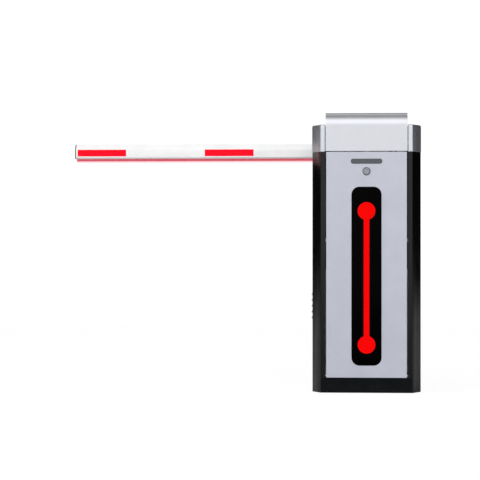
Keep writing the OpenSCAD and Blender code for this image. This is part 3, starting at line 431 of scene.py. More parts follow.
# what each surface is made of
paints = {
    "blackPaint": dict(color=(0.0002, 0.0003, 0.0004), roughness=0.2, specular=0.22, flecks=0.04,
                       wear=0.3, worn=(0.02, 0.021, 0.025), grain=0.0012, peel=0.2, dust=0.002),
    "kickPaint": dict(color=(0.003, 0.0045, 0.006), roughness=0.42, specular=0.04, flecks=0.1,
                      wear=0.4, worn=(0.03, 0.03, 0.035), grain=0.0012, peel=0.25, dust=0.02,
                      dustTop=0.1),
    "rearPaint": dict(color=(0.012, 0.013, 0.016), roughness=0.45, specular=0.25, peel=0.3,
                      dust=0.03),
    "doorSilver": dict(color=(0.536, 0.553, 0.632), roughness=0.42, metallic=0.2, coat=0.05,
                       grain=0.003, peel=0.05, flecks=0.25, worn=(0.7, 0.7, 0.72), wear=0.35,
                       dust=0.05, dustTop=0.16),
    "hoodSilver": dict(color=(0.512, 0.522, 0.554), roughness=0.3, metallic=0.75, coat=0.05,
                       grain=0.003, peel=0.05, flecks=0.25, worn=(0.8, 0.8, 0.82), wear=0.35,
                       dust=0.06),
    "capSilver": dict(color=(0.553, 0.577, 0.615), roughness=0.36, metallic=0.7, coat=0.05,
                      grain=0.003, peel=0.06, flecks=0.2, worn=(0.6, 0.6, 0.62), wear=0.35,
                      dust=0.06),
    "boomWhite": dict(color=(0.95, 0.95, 0.955), roughness=0.35, coat=0.1, grain=0.004, peel=0.05,
                      flecks=0.02, worn=(0.55, 0.55, 0.56), wear=0.25, dust=0.05),
    "holderPaint": dict(color=(0.012, 0.012, 0.014), roughness=0.45, peel=0.3, specular=0.3,
                        dust=0.05),
    "framePaint": dict(color=(0.10, 0.11, 0.12), roughness=0.5, dust=0.1),
    "castIron": dict(color=(0.13, 0.15, 0.17), roughness=0.55, grain=0.004, peel=0.6, dust=0.1),
    "gearboxCast": dict(color=(0.07, 0.12, 0.17), roughness=0.5, grain=0.005, peel=0.6, dust=0.1),
    "motorCast": dict(color=(0.05, 0.06, 0.075), roughness=0.5, grain=0.004, peel=0.5, dust=0.1),
}
metals = {
    "zincSheet": dict(color=(0.62, 0.63, 0.64), roughness=0.38, stretch=(60.0, 60.0, 500.0)),
    "zincBolts": dict(color=(0.66, 0.67, 0.66), roughness=0.3),
    "shaftSteel": dict(color=(0.62, 0.62, 0.63), roughness=0.22, stretch=(900.0, 6.0, 900.0)),
    "leverSteel": dict(color=(0.30, 0.31, 0.33), roughness=0.4, stretch=(200.0, 8.0, 200.0)),
    "springSteel": dict(color=(0.22, 0.23, 0.25), roughness=0.35, stretch=(120.0, 120.0, 600.0)),
    "aluFins": dict(color=(0.72, 0.73, 0.74), roughness=0.35, stretch=(700.0, 700.0, 5.0)),
    "bronze": dict(color=(0.68, 0.47, 0.20), roughness=0.3, stretch=(300.0, 30.0, 300.0)),
    "badge": dict(color=(0.10, 0.105, 0.115), roughness=0.42, stretch=(6.0, 900.0, 900.0),
                  stain=0.05),
    "lockNickel": dict(color=(0.22, 0.225, 0.25), roughness=0.22, stretch=(300.0, 20.0, 300.0),
                       stain=0.1),
}
plastics = {
    "boomCap": dict(color=(0.02, 0.02, 0.022), roughness=0.5, dust=0.02),
    "blackPlastic": dict(color=(0.016, 0.016, 0.018)),
    "greyPlastic": dict(color=(0.5, 0.51, 0.52)),
    "darkPlastic": dict(color=(0.06, 0.065, 0.075), roughness=0.4),
    "rubber": dict(color=(0.014, 0.014, 0.015), roughness=0.65, texture=0.4),
    "redRim": dict(color=(0.5, 0.02, 0.02), roughness=0.3, coat=0.4),
    "boardGreen": dict(color=(0.02, 0.16, 0.07), roughness=0.35, coat=0.3),
}
makers = ((paint, paints), (bareMetal, metals), (mouldedPlastic, plastics))
finishes = {name: make(name, **values) for make, table in makers for name, values in table.items()}
finishes |= {
    "window": darkAcrylic("window"),
    "lamp": litAcrylic("lamp", (0.02, 0.0, 0.0), (1.0, 0.0, 0.0), 1.0, 0.0075, 0.06),
    "ledStrip": litAcrylic("ledStrip", (0.8, 0.03, 0.06), (0.80, 0.05, 0.08), 0.9, 0.016, 0.6),
    "stripe": filmWithPaintedGlow("stripe", (0.98, 0.002, 0.018)),
    "lip": paintedGlowLip("lip", (0.80, 0.22, 0.26), (0.64, 0.078, 0.115)),
}
print("materials built:", len(finishes))

# by finish: the CAD pieces, and the radius in millimetres that their edges are broken to
finishedNodes = {
    "zincSheet": {"base_plate": 0.8, "front_mech_plate": 0.8, "rear_mech_plate": 0.8,
                  "device_plate": 0.5},
    "blackPaint": {"left_side_panel": 1.2, "right_side_panel": 1.2, "front_lintel": 0.8},
    "kickPaint": {"kick_plate": 0.9},
    "rearPaint": {"rear_panel": 0.6},
    "capSilver": {"left_shoulder": 1.6, "right_shoulder": 1.6},
    "hoodSilver": {"hood": 0.9},
    "framePaint": {"core_frame": 1.0},
    "zincBolts": {"machine_bolts": 0.5, "stop_brackets": 0.4, "spring_clevis": 0.5,
                  "panel_screws": 0.4, "boom_bolts": 0.5},
    "castIron": {"bearing_housings": 1.2},
    "shaftSteel": {"shaft_bearings": 0.3, "bearing_inner_races": 0.3, "door_hinge_pins": 0.4,
                   "main_shaft": 0.8, "output_shaft": 0.8, "rod_ends": 0.6, "worm_shaft": 0},
    "gearboxCast": {"gearbox_housing": 2.5, "gearbox_cover": 1.2},
    "motorCast": {"motor_housing": 0.6, "motor_end_bell": 1.0},
    "blackPlastic": {"motor_terminal_box": 1.2, "led_housing": 1.2},
    "rubber": {"motor_cable": 0, "stop_buffers": 1.2, "shaft_seal": 0.8},
    "springSteel": {"balance_spring": 0},
    "greyPlastic": {"controller_case": 1.5},
    "darkPlastic": {"controller_cover": 0.9},
    "aluFins": {"power_supply": 0.6},
    "leverSteel": {"rocker_arm": 1.0, "spring_lever": 1.0, "spindle_flange": 1.0, "crank_arm": 1.0,
                   "connecting_rod": 0.8},
    "holderPaint": {"boom_holder": 1.2, "boom_clamp_plate": 1.0},
    "boomWhite": {"boom_profile": 1.5},
    "boomCap": {"boom_end_caps": 0.9},
    "ledStrip": {"boom_light_strip": 0.5},
    "lip": {"boom_buffer_lip": 0.8},
    "stripe": {"reflective_stripes": 0},
    "bronze": {"worm_wheel": 0},
    "redRim": {"handwheel": 0},
    "doorSilver": {"door_panel": 0.9},
    "window": {"led_window": 0.6},
    "lamp": {"led_diffuser": 0.5},
    "boardGreen": {"led_board": 0.3},
    "badge": {"name_badge": 0.4},
    "lockNickel": {"lock_body": 0.6, "lock_plug": 0.3},
}


def softenEdges(thing, radius, segments=3):
    # joins the split corners of the CAD mesh, rounds its edges and evens out the shading
    weld = thing.modifiers.new("weld", "WELD")
    weld.merge_threshold = 1e-5
    if radius > 0:
        bevel = thing.modifiers.new("softEdge", "BEVEL")
        bevel.width = radius / 1000
        bevel.segments = segments
        bevel.limit_method = "ANGLE"
        bevel.angle_limit = math.radians(32)
        bevel.use_clamp_overlap = True
        bevel.miter_outer = "MITER_ARC"
        even = thing.modifiers.new("evenShading", "WEIGHTED_NORMAL")
        even.weight = 80
        even.keep_sharp = False


def dress(thing, material):
    thing.data.materials.clear()
    thing.data.materials.append(material)


for finish, radii in finishedNodes.items():
    for name, radius in radii.items():
        dress(nodes[name], finishes[finish])
        softenEdges(nodes[name], radius)
print("CAD pieces finished:", sum(len(radii) for radii in finishedNodes.values()))


def circlePoints(radius, count, turn=0.0):
    return [(radius * math.cos(turn + 2 * math.pi * i / count),
             radius * math.sin(turn + 2 * math.pi * i / count))
            for i in range(count)]


def merged(*parts):
    # several (points, faces) pairs as one
    points, faces = [], []
    for somePoints, someFaces in parts:
        faces += [tuple(i + len(points) for i in face) for face in someFaces]
        points += [tuple(p) for p in somePoints]
    return points, faces


def rings(sections, closed=False, capped=True):
    # joins equal rings of points into a skin
    count = len(sections[0])
    points = [tuple(p) for ring in sections for p in ring]
    faces = []
    last = len(sections) if closed else len(sections) - 1
    for i in range(last):
        for j in range(count):
            a, b = i * count + j, i * count + (j + 1) % count
            d = (i + 1) % len(sections) * count + j
            c = d - j + (j + 1) % count
            faces.append((a, b, c, d))
    if capped and not closed:
        faces.append(tuple(reversed(range(count))))
        faces.append(tuple((len(sections) - 1) * count + j for j in range(count)))
    return points, faces


def slab(outline, axis, start, thick):
    # an outline given in the other two axes, made thick along this one
    order = {"x": (1, 2), "y": (0, 2), "z": (0, 1)}[axis]
    index = "xyz".index(axis)
    sections = []
    for level in (start, start + thick):
        ring = []
        for u, v in outline:
            point = [0.0, 0.0, 0.0]
            point[index], point[order[0]], point[order[1]] = level, u, v
            ring.append(point)
        sections.append(ring)
    return rings(sections)


def boxPart(low, high):
    return slab([(low[0], low[1]), (high[0], low[1]), (high[0], high[1]), (low[0], high[1])], "z",
                low[2], high[2] - low[2])


def roundRect(x, z, wide, tall, radius, steps=5):
    outline = []
    for cx, cz, start in ((1, 1, 0), (-1, 1, 90), (-1, -1, 180), (1, -1, 270)):
        for i in range(steps + 1):
            angle = math.radians(start + 90 * i / steps)
            outline.append((x + cx * (wide / 2 - radius) + radius * math.cos(angle),
                            z + cz * (tall / 2 - radius) + radius * math.sin(angle)))
    return outline


def lathe(profile, at, axis="y", steps=32):
    # a profile of (radius, length) turned about an axis through a point
    index = "xyz".index(axis)
    others = [k for k in range(3) if k != index]
    sections = []
    for radius, length in profile:
        ring = []
        for u, v in circlePoints(max(radius, 1e-6), steps):
            point = list(at)
            point[index] += length
            point[others[0]] += u
            point[others[1]] += v
            ring.append(point)
        sections.append(ring)
    return rings(sections)


def tube(path, radius, sides=10, closed=False):
    # a round bar along a path, its rings turned as little as they can be
    points = [Vector(p) for p in path]
    count = len(points)
    sections, side = [], None
    for i, point in enumerate(points):
        before = points[i - 1] if i or closed else point
        after = points[(i + 1) % count] if i < count - 1 or closed else point
        along = (after - before).normalized()
        if side is None:
            side = along.orthogonal().normalized()
        side = (side - along * side.dot(along)).normalized()
        other = along.cross(side)
        sections.append([point + side * u + other * v for u, v in circlePoints(radius, sides)])
    return rings(sections, closed=closed)


def smoothPath(stops, steps=8):
    # a Catmull-Rom curve through the stops
    stops = [Vector(p) for p in stops]
    padded = [stops[0] * 2 - stops[1]] + stops + [stops[-1] * 2 - stops[-2]]
    path = []
    for a, b, c, d in zip(padded, padded[1:], padded[2:], padded[3:]):
        for i in range(steps):
            t = i / steps
            path.append(0.5 * (2 * b + (c - a) * t + (2 * a - 5 * b + 4 * c - d) * t ** 2
                               + (3 * b - a - 3 * c + d) * t ** 3))
    path.append(stops[-1])
    return path


def piece(name, part, finish, body, radius=0.0, smooth=True):
    # a new mesh in metres that rides on a CAD body
    points, faces = part
    mesh = bpy.data.meshes.new(name)
    mesh.from_pydata([tuple(p) for p in points], [], faces)
    mesh.validate()
    built = bmesh.new()
    built.from_mesh(mesh)
    bmesh.ops.recalc_face_normals(built, faces=built.faces)
    built.to_mesh(mesh)
    built.free()
    mesh.polygons.foreach_set("use_smooth", [smooth] * len(mesh.polygons))
    thing = bpy.data.objects.new(name, mesh)
    scene.collection.objects.link(thing)
    dress(thing, finishes[finish])
    if radius > 0:
        softenEdges(thing, radius, 2)
    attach(thing, body)
    return thing


def disc(at, radius, tall, axis="y", steps=18):
    return lathe([(0.0, 0.0), (radius, 0.0), (radius, tall), (0.0, tall)], at, axis, steps)


def stud(at, radius, straight, crown, tall, steps=18):
    # a disc whose outer face is bevelled down to a smaller crown
    return lathe([(0.0, 0.0), (radius, 0.0), (radius, straight), (crown, tall), (0.0, tall)], at,
                 steps=steps)


spring = {
    "wire": 0.003,
    "coil": 0.016,  # radius of the coil
    "turns": 34,
    "steps": 20,
    "eye": 0.0093,  # radius of the end eyes
    "lead": 0.020,  # from the lower eye's middle to the first turn
    "tail": 0.028,  # from the last turn to the upper eye's middle
    "closed": 0.19486,  # distance of the two eyes when the boom is up
}


def makeSpring():
    # a close helix between two round eyes: the lower on the clevis, the upper on the lever's pin
    low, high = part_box("balance_spring")
    x, y, _ = mid("balance_spring")
    eye, wire, coilRadius = spring["eye"], spring["wire"], spring["coil"]
    lowerEye, upperEye = low[2] + eye + wire, high[2] - eye - wire
    for name, z, body in (("springLowerEye", lowerEye, "cabinet"),
                          ("springUpperEye", upperEye, "boom")):
        loop = [(x + u, y, z + v) for u, v in circlePoints(eye, 40)]
        piece(name, tube(loop, wire, 10, closed=True), "springSteel", body)
    start, end = lowerEye + spring["lead"], upperEye - spring["tail"]
    path = [(x, y, lowerEye + eye), (x + 0.002, y, lowerEye + eye + 0.003),
            (x + 0.010, y, start - 0.003)]
    total = spring["turns"] * spring["steps"]
    for i in range(total + 1):
        angle = 2 * math.pi * i / spring["steps"]
        path.append((x + coilRadius * math.cos(angle), y + coilRadius * math.sin(angle),
                     start + (end - start) * i / total))
    path += [(x + 0.010, y, end + 0.004), (x + 0.002, y, upperEye - eye - 0.006),
             (x, y, upperEye - eye)]
    coil = piece("balanceCoil", tube(path, wire, 8), "springSteel", "cabinet")
    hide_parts("balance_spring")
    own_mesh(coil)


makeSpring()
print("balance spring wound")

doorTrim = {
    "seal": 0.0028,  # radius of the foam cord
    "sealInset": 0.0055,
    "sealBack": 0.0045,
    "corner": 0.012,
    "ring": 0.0011,  # radius of the dark ring under the lock, a painted shadow around the lock's face
}


def makeDoorTrim():
    # the foam seal inside the door's folded edge, and a dark ring under the lock that paints the
    # shadow around the lock's face
    low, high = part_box("door_panel")
    x, _, z = mid("door_panel")
    inset, y = doorTrim["sealInset"], high[1] - doorTrim["sealBack"]
    rim = roundRect(x, z, high[0] - low[0] - 2 * inset, high[2] - low[2] - 2 * inset,
                    doorTrim["corner"])
    seal = tube([(u, y, v) for u, v in rim], doorTrim["seal"], 8, closed=True)
    piece("doorSeal", seal, "rubber", "door")
    # painted shadow: a dark rubber ring around the lock stands in for the shade that falls around
    # its face
    ring, lock = doorTrim["ring"], mid("lock_body")
    radius = lock[0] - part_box("lock_body")[0][0] + 0.6 * ring
    loop = [(lock[0] + u, low[1] - ring, lock[2] + v) for u, v in circlePoints(radius, 48)]
    piece("lockShadowRing", tube(loop, ring, 8, closed=True), "rubber", "door")


lampCase = {
    "screwsPerSide": 6,
    "screwInset": 0.012,
    "screwEnd": 0.02,  # from the case's ends to its first screws
    "glandHeight": 0.06,
    "ribs": 8,
    "ribPitch": 0.065,
    "firstRib": 0.12,
    "ribHalf": 0.045,
}


def makeLampCase():
    # screws, stiffening ribs and a blanked gland on the back of the lamp's case
    low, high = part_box("led_housing")
    x, back = (low[0] + high[0]) / 2, high[1]
    inset, end, count = lampCase["screwInset"], lampCase["screwEnd"], lampCase["screwsPerSide"]
    heads = [stud((side, back, low[2] + end + (high[2] - low[2] - 2 * end) * k / (count - 1)),
                  0.0034, 0.0012, 0.0022, 0.002, 32)
             for side in (low[0] + inset, high[0] - inset) for k in range(count)]
    piece("lampCaseScrews", merged(*heads), "zincBolts", "door")
    profile = [(0.0, 0.0), (0.009, 0.0), (0.009, 0.004), (0.0065, 0.005), (0.0065, 0.011),
               (0.0035, 0.013), (0.0, 0.013)]
    gland = lathe(profile, (x, back, low[2] + lampCase["glandHeight"]), steps=24)
    half, ribs = lampCase["ribHalf"], []
    for k in range(lampCase["ribs"]):
        z = low[2] + lampCase["firstRib"] + lampCase["ribPitch"] * k
        ribs.append(boxPart((x - half, back, z), (x + half, back + 0.0015, z + 0.003)))
    piece("lampCaseBack", merged(gland, *ribs), "blackPlastic", "door", 0.3)


makeDoorTrim()
makeLampCase()
print("door trim made")

control = {
    "terminals": 14,
    "terminalPitch": 0.0095,
    "terminalDeep": 0.009,
    "firstTerminal": -0.067,  # from the middle of the cover
    "screen": (0.070, 0.036),
    "screenRim": 0.007,
    "screenAt": (-0.025, -0.045),  # from the middle and the top of the cover
    "keys": 4,
    "keyPitch": 0.017,
    "lights": 6,
    "lightPitch": 0.012,
    "slots": 10,
    "slotPitch": 0.012,
    "screwInset": 0.007,
}


def makeController():
    # the controller's face: terminal row, small screen, keys, lights and vents, all blank
    low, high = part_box("controller_cover")
    middle, face, top = (low[0] + high[0]) / 2, low[1], high[2]
    blocks, screws = [], []
    for i in range(control["terminals"]):
        x = middle + control["firstTerminal"] + i * control["terminalPitch"]
        front = face - control["terminalDeep"]
        blocks.append(boxPart((x, front, low[2] + 0.012), (x + 0.0085, face, low[2] + 0.030)))
        screws.append(disc((x + 0.00425, front, low[2] + 0.024), 0.0026, -0.0006, steps=14))
    piece("terminalBlocks", merged(*blocks), "boardGreen", "cabinet", 0.4)
    piece("terminalScrews", merged(*screws), "zincBolts", "cabinet")
    wide, tall = control["screen"]
    rim = 2 * control["screenRim"]
    x, z = middle + control["screenAt"][0], top + control["screenAt"][1]
    surround = slab(roundRect(x, z, wide + rim, tall + rim, 0.004), "y", face - 0.002, 0.002)
    piece("screenFrame", surround, "blackPlastic", "cabinet", 0.5)
    glass = slab(roundRect(x, z, wide, tall, 0.002), "y", face - 0.0028, 0.001)
    piece("screenGlass", glass, "window", "cabinet", 0.2)
    keys = [stud((middle + 0.05, face, top - 0.022 - control["keyPitch"] * i),
                 0.006, -0.002, 0.005, -0.0026, 24) for i in range(control["keys"])]
    piece("controllerKeys", merged(*keys), "greyPlastic", "cabinet")
    dome = [(0.0, 0.0), (0.0024, 0.0), (0.0024, -0.0012), (0.0012, -0.0022), (0.0, -0.0024)]
    lights = [lathe(dome, (middle - 0.055 + control["lightPitch"] * i, face, top - 0.083), steps=16)
              for i in range(control["lights"])]
    piece("indicatorLights", merged(*lights), "lamp", "cabinet")
    slots = []
    for i in range(control["slots"]):
        x = middle - 0.06 + control["slotPitch"] * i
        slots.append(boxPart((x, face - 0.0006, low[2] + 0.045), (x + 0.005, face, low[2] + 0.062)))
    piece("controllerVents", merged(*slots), "rubber", "cabinet")
    inset = control["screwInset"]
    corners = [stud((x, face, z), 0.0032, -0.0014, 0.002, -0.002)
               for x in (low[0] + inset, high[0] - inset)
               for z in (low[2] + inset, high[2] - inset)]
    piece("controllerScrews", merged(*corners), "zincBolts", "cabinet")


makeController()
print("controller face made")

wiring = {
    "core": 0.0016,
    "cores": 6,
    "supplyPitch": 0.0125,  # between the supply's terminals
    "loom": 0.0045,
    "loomSide": 0.018,  # from the controller to the loom
    "riser": 0.118,  # where the loom climbs beside the mechanism
    "tieHalf": 0.0025,
}


def makeWiring():
    # looms tied to the plates: from the controller to the supply, and up to the switches
    low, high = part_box("controller_cover")
    face, plate = low[1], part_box("device_plate")
    front, top = plate[0][1], plate[1][2]
    supplyLow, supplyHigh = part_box("power_supply")
    firstCore = (low[0] + high[0]) / 2 + control["firstTerminal"] + 0.0045
    cores = []
    for i in range(wiring["cores"]):
        x = firstCore + 2 * i * control["terminalPitch"]
        end = supplyLow[0] + 0.012 + wiring["supplyPitch"] * i
        stops = [(x, face - 0.006, low[2] + 0.013), (x, face - 0.010, low[2] - 0.006),
                 ((x + end) / 2, front - 0.030, low[2] - 0.022),
                 (end, front - 0.020, supplyHigh[2] + 0.014),
                 (end, front - 0.016, supplyHigh[2] - 0.001)]
        cores.append(tube(smoothPath(stops), wiring["core"], 8))
    piece("supplyCores", merged(*cores), "rubber", "cabinet")
    side, riser, loom = high[0] + wiring["loomSide"], wiring["riser"], wiring["loom"]
    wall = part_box("front_mech_plate")[0][1] - 0.006
    stops = [(high[0] - 0.012, face - 0.005, low[2] + 0.013),
             (high[0] + 0.004, face - 0.008, low[2] + 0.002),
             (side, front - 0.012, low[2] + 0.03), (side, front - 0.007, low[2] + 0.09),
             (side, front - 0.007, top - 0.03), (side + 0.003, front - 0.004, top + 0.01),
             (side + 0.012, front + 0.030, top + 0.06), (riser, wall, top + 0.11),
             (riser, wall, 0.70), (riser - 0.002, wall, 0.80),
             (riser - 0.010, wall - 0.004, 0.835)]
    piece("switchLoom", tube(smoothPath(stops), loom, 12), "rubber", "cabinet")
    band = [(loom + 0.0002, -0.002), (loom + 0.0014, -0.002), (loom + 0.0014, 0.002),
            (loom + 0.0002, 0.002)]
    half, ties = wiring["tieHalf"], []
    for x, y, z in ((side, front - 0.007, low[2] + 0.12), (riser, wall, 0.62), (riser, wall, 0.70),
                    (riser - 0.001, wall, 0.78)):
        ties.append(lathe(band, (x, y, z), "z", 20))
        ties.append(boxPart((x - half, y - loom - 0.0045, z - half),
                            (x + half, y - loom - 0.0005, z + half)))
    piece("cableTies", merged(*ties), "greyPlastic", "cabinet")


makeWiring()
print("wiring laid")

switches = {
    "x": 0.093,
    "gap": 0.040,  # between the two switches' middles
    "wide": 0.032,
    "tall": 0.030,
    "deep": 0.016,
    "armReach": 0.026,  # from a switch's middle to the free end of its arm
    "armHalf": 0.0006,
    "roller": 0.0046,
}


def makeSwitches():
    # the two limit switches beside the spindle, each with its roller arm
    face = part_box("front_mech_plate")[0][1]
    x, deep, armEnd = switches["x"], switches["deep"], switches["x"] - switches["armReach"]
    bodies, metal, rollers = [], [], []
    roller, edge = switches["roller"], switches["roller"] - 0.0004
    profile = [(0.0, -0.003), (edge, -0.003), (roller, -0.002), (roller, 0.002), (edge, 0.003),
               (0.0, 0.003)]
    for side in (-1, 1):
        z = hinge("boom_lift")[2] + side * switches["gap"] / 2
        armZ = z + side * 0.004
        outline = roundRect(x, z, switches["wide"], switches["tall"], 0.003)
        bodies.append(slab(outline, "y", face - deep, deep))
        metal.append(boxPart((armEnd, face - 0.012, armZ - switches["armHalf"]),
                             (x + 0.004, face - 0.005, armZ + switches["armHalf"])))
        metal += [disc((x + 0.004, face - deep, z + k * 0.009), 0.003, -0.0016) for k in (-1, 1)]
        rollers.append(lathe(profile, (armEnd - 0.001, face - 0.0085, armZ), steps=24))
    piece("limitSwitches", merged(*bodies), "blackPlastic", "cabinet", 0.5)
    piece("switchArms", merged(*metal), "zincBolts", "cabinet")
    piece("switchRollers", merged(*rollers), "greyPlastic", "cabinet")


makeSwitches()
print("limit switches made")

drive = {
    "ribs": 5,
    "ribPitch": 0.018,
    "ribTall": 0.002,
    "plug": 0.007,  # radius of an oil plug
    "plugInset": (0.018, 0.02),
    "sight": 0.009,
}


def makeGearboxTrim():
    # ribs, plugs and a sight glass on the gearbox
    low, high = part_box("gearbox_housing")
    ribs = []
    for inner, outer in ((low[0] - drive["ribTall"], low[0]),
                         (high[0], high[0] + drive["ribTall"])):
        for k in range(drive["ribs"]):
            z = low[2] + 0.014 + k * drive["ribPitch"]
            ribs.append(boxPart((inner, low[1] + 0.006, z), (outer, high[1] - 0.004, z + 0.003)))
    piece("gearboxRibs", merged(*ribs), "gearboxCast", "cabinet", 0.6)
    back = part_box("gearbox_cover")[1][1]
    inX, inZ = drive["plugInset"]
    plugs = [disc((x, back, z), drive["plug"], 0.004, steps=6)
             for x, z in ((high[0] - inX, low[2] + inZ), (low[0] + inX, high[2] - inZ))]
    piece("oilPlugs", merged(*plugs), "zincBolts", "cabinet", 0.4)
    sight, bore = drive["sight"], drive["sight"] - 0.003
    profile = [(0.0, 0.0), (sight, 0.0), (sight, 0.003), (bore, 0.003), (bore, 0.0022),
               (0.0, 0.0022)]
    glass = lathe(profile, (high[0] - inX, back, (low[2] + high[2]) / 2), steps=28)
    piece("sightGlass", glass, "bronze", "cabinet")


def makeTerminalBoxTrim():
    # the gland and lid screws of the motor's terminal box
    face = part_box("motor_terminal_box")[0][1]
    x, _, z = mid("motor_terminal_box")
    gland = [(0.0, -0.008), (0.0055, -0.008), (0.0075, -0.006), (0.0075, 0.0), (0.0, 0.0)]
    parts = [lathe(gland, (x, face, z), steps=24)]
    parts += [disc((x + u * 0.016, face - 0.001, z + v * 0.016), 0.0022, 0.001, steps=14)
              for u in (-1, 1) for v in (-1, 1)]
    piece("terminalBoxTrim", merged(*parts), "greyPlastic", "cabinet")


makeGearboxTrim()
makeTerminalBoxTrim()
print("drive trim made")

supply = {"terminals": 7, "block": 0.011}


def makeSupplyTrim():
    # the supply's terminal strip
    low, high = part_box("power_supply")
    strip = []
    for i in range(supply["terminals"]):
        x = low[0] + 0.006 + i * wiring["supplyPitch"]
        strip.append(boxPart((x, low[1] + 0.010, high[2] - 0.003),
                             (x + supply["block"], low[1] + 0.028, high[2] + 0.006)))
    piece("supplyTerminals", merged(*strip), "blackPlastic", "cabinet", 0.4)


makeSupplyTrim()
print("supply trim made")

boomTrim = {
    "screw": 0.0024,  # radius of an end cap screw
    "head": 0.0008,
    "lead": 0.0028,  # radius of the lamp's lead
    "saddles": (0.045, 0.085),  # from the end of the lamp strip
}


def makeBoomTrim():
    # screws in the boom's outer end cap, and the lead of its lamp strip
    _, y, z = mid("boom_profile")
    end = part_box("boom_end_caps")[0][0]
    heads = [disc((end, y + side * 0.013, z + up), boomTrim["screw"], -boomTrim["head"], "x")
             for side in (-1, 1) for up in (-0.016, 0.008)]
    piece("endCapScrews", merged(*heads), "zincBolts", "boom")
    low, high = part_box("boom_light_strip")
    start, holder = high[0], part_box("boom_holder")
    under = holder[0][2] - 0.0035
    stops = [(start - 0.004, y, low[2] + 0.004), (start + 0.010, y, low[2] + 0.002),
             (start + 0.026, y - 0.004, under - 0.0005), (start + 0.060, y - 0.010, under),
             (start + 0.110, holder[0][1] + 0.012, under)]
    piece("lampLead", tube(smoothPath(stops), boomTrim["lead"], 10), "rubber", "boom")
    saddles = [boxPart((x, y - 0.016, under - 0.0045), (x + 0.008, y + 0.002, under + 0.003))
               for x in (start + along for along in boomTrim["saddles"])]
    piece("leadSaddles", merged(*saddles), "blackPlastic", "boom", 0.8)


makeBoomTrim()
print("boom trim made")

rear = {"plate": (0.075, 0.045), "thick": 0.0008, "x": 0.06, "z": 0.30, "rivetInset": 0.005}


def makeRearTrim():
    # a blank rating plate with its rivets
    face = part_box("rear_panel")[1][1]
    wide, tall = rear["plate"]
    plate = slab(roundRect(rear["x"], rear["z"], wide, tall, 0.003), "y", face, rear["thick"])
    piece("ratingPlate", plate, "aluFins", "cabinet", 0.2)
    across, up = wide / 2 - rear["rivetInset"], tall / 2 - rear["rivetInset"]
    dome = [(0.0, 0.0), (0.0022, 0.0), (0.0016, 0.0010), (0.0, 0.0013)]
    rivets = [lathe(dome, (rear["x"] + u * across, face + rear["thick"], rear["z"] + v * up),
                    steps=18)
              for u in (-1, 1) for v in (-1, 1)]
    piece("plateRivets", merged(*rivets), "zincBolts", "cabinet")


makeRearTrim()
print("rear trim made")

view = {
    "distance": 7.0,  # from the cabinet's front face
    "eyeHeight": 0.545,
    "turnLeft": math.degrees(math.atan(126 / 1960)),  # the boom's side gets the room
    "lens": 147.0,
    "sideways": -0.0018,
}
studio = {
    "backdrop": 1.0,
    "ambient": 0.03,
    "floorShare": 0.16,  # how much of its shading the floor keeps when seen directly
    "floorGlow": 1.12,
    "floorBounce": 0.58,  # the floor's grey in bounced light, and the backdrop's above it
    "wallBounce": 0.01,
    # each soft glow of the room: where it lies, its full and outer half-angles, its strength
    "glows": [
        ((-0.36, -0.88, 0.30), 30, 68, 1.78),
        ((0.0, -0.78, 0.62), 4, 26, 0.55),
        ((0.0, 0.25, 1.0), 15, 72, 0.26),
        ((-0.25, 0.85, 0.45), 20, 50, 1.1),
    ],
}

sweepSize = {"halfWidth": 14.0, "near": -9.0, "far": 5.0, "radius": 2.5, "tall": 9.0}


def makeFloor():
    # pale floor that rises into a backdrop in one sweep, well behind the object
    mesh = bpy.data.meshes.new("sweep")
    wide, far, radius = sweepSize["halfWidth"], sweepSize["far"], sweepSize["radius"]
    profile = [(sweepSize["near"], 0.0), (far, 0.0)]
    profile += [(far + radius * math.sin(a), radius * (1 - math.cos(a)))
                for a in (math.radians(d) for d in range(6, 91, 6))]
    profile.append((far + radius, sweepSize["tall"]))
    points = [(x, y, z) for y, z in profile for x in (-wide, wide)]
    faces = [(2 * i, 2 * i + 1, 2 * i + 3, 2 * i + 2) for i in range(len(profile) - 1)]
    mesh.from_pydata(points, [], faces)
    mesh.polygons.foreach_set("use_smooth", [True] * len(mesh.polygons))
    sweep = bpy.data.objects.new("sweep", mesh)
    scene.collection.objects.link(sweep)
    material, tree, shader = newMaterial("paleFloor", Roughness=0.85, Specular_IOR_Level=0.1)
    spot = ownSpace(tree)
    faint = noise(tree, spot, 3.0, 6.0, 0.6)
    tree.links.new(mixColor(tree, faint, (0.55, 0.55, 0.55), (0.6, 0.6, 0.6)),
                   shader.inputs["Base Color"])
    bumpFrom(tree, shader, noise(tree, spot, 90.0, 3.0), 0.05, 0.001)
    # seen directly the floor is washed nearly white, with only a share of its shadows
    wash = addNode(tree, "ShaderNodeEmission")
    wash.inputs["Strength"].default_value = studio["floorGlow"]
    washed = addNode(tree, "ShaderNodeMixShader")
    washed.inputs[0].default_value = studio["floorShare"]
    tree.links.new(wash.outputs[0], washed.inputs[1])
    tree.links.new(shader.outputs[0], washed.inputs[2])
    # in reflections and bounced light the floor is grey and the backdrop above it dark
    rise = remap(tree, splitAxes(tree, spot)[2], 0.0, 0.2)
    dim = addNode(tree, "ShaderNodeBsdfDiffuse")
    greys = [(studio[key],) * 3 for key in ("floorBounce", "wallBounce")]
    tree.links.new(mixColor(tree, rise, *greys), dim.inputs["Color"])
    choose = addNode(tree, "ShaderNodeMixShader")
    tree.links.new(addNode(tree, "ShaderNodeLightPath").outputs["Is Camera Ray"], choose.inputs[0])
    tree.links.new(dim.outputs[0], choose.inputs[1])
    tree.links.new(washed.outputs[0], choose.inputs[2])
    tree.links.new(choose.outputs[0], tree.nodes["Material Output"].inputs[0])
    sweep.data.materials.append(material)


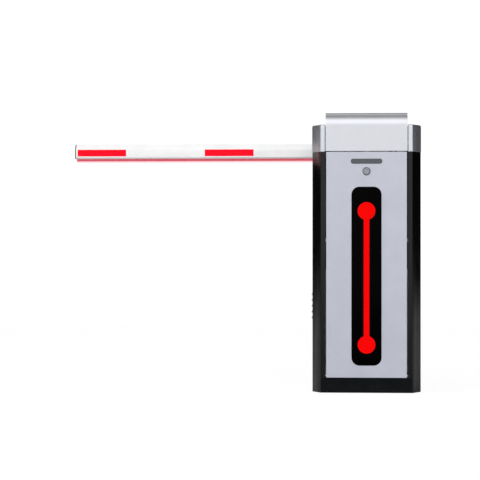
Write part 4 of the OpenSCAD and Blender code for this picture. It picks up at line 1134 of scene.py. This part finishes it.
def softGlow(tree, direction, towards, full, outer, strength):
    # a soft round patch of light in the room
    facing = vectorNode(tree, "DOT_PRODUCT", direction, Vector(towards).normalized())
    patch = addNode(tree, "ShaderNodeMapRange", clamp=True, interpolation_type="SMOOTHSTEP")
    tree.links.new(facing, patch.inputs[0])
    edges = (math.cos(math.radians(outer)), math.cos(math.radians(full)), 0.0, strength)
    for socket, number in zip(list(patch.inputs)[1:5], edges):
        socket.default_value = number
    return patch.outputs[0]


def makeStudio():
    # the room shows white behind the object, and lights it with a few soft glows
    world = bpy.data.worlds.new("room")
    scene.world = world
    world.use_nodes = True
    tree = world.node_tree
    tree.nodes.clear()
    direction = addNode(tree, "ShaderNodeTexCoord").outputs["Generated"]
    total = studio["ambient"]
    for towards, full, outer, strength in studio["glows"]:
        total = mathNode(tree, "ADD", softGlow(tree, direction, towards, full, outer, strength),
                         total)
    felt = addNode(tree, "ShaderNodeBackground")
    felt.inputs["Color"].default_value = (1, 1, 1, 1)
    tree.links.new(total, felt.inputs["Strength"])
    shown = addNode(tree, "ShaderNodeBackground")
    shown.inputs["Color"].default_value = (1, 1, 1, 1)
    shown.inputs["Strength"].default_value = studio["backdrop"]
    choose = addNode(tree, "ShaderNodeMixShader")
    tree.links.new(addNode(tree, "ShaderNodeLightPath").outputs["Is Camera Ray"], choose.inputs[0])
    tree.links.new(felt.outputs[0], choose.inputs[1])
    tree.links.new(shown.outputs[0], choose.inputs[2])
    out = addNode(tree, "ShaderNodeOutputWorld")
    tree.links.new(choose.outputs[0], out.inputs[0])


def makeCamera():
    data = bpy.data.cameras.new("camera")
    data.sensor_width = 36.0
    data.lens = view["lens"]
    camera = bpy.data.objects.new("camera", data)
    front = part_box("door_panel")[0][1]
    camera.location = (view["sideways"], front - view["distance"], view["eyeHeight"])
    camera.rotation_euler = (math.radians(90), 0, math.radians(view["turnLeft"]))
    scene.collection.objects.link(camera)
    scene.camera = camera


makeFloor()
makeStudio()
makeCamera()
scene.view_settings.view_transform = "Standard"
print("studio ready")
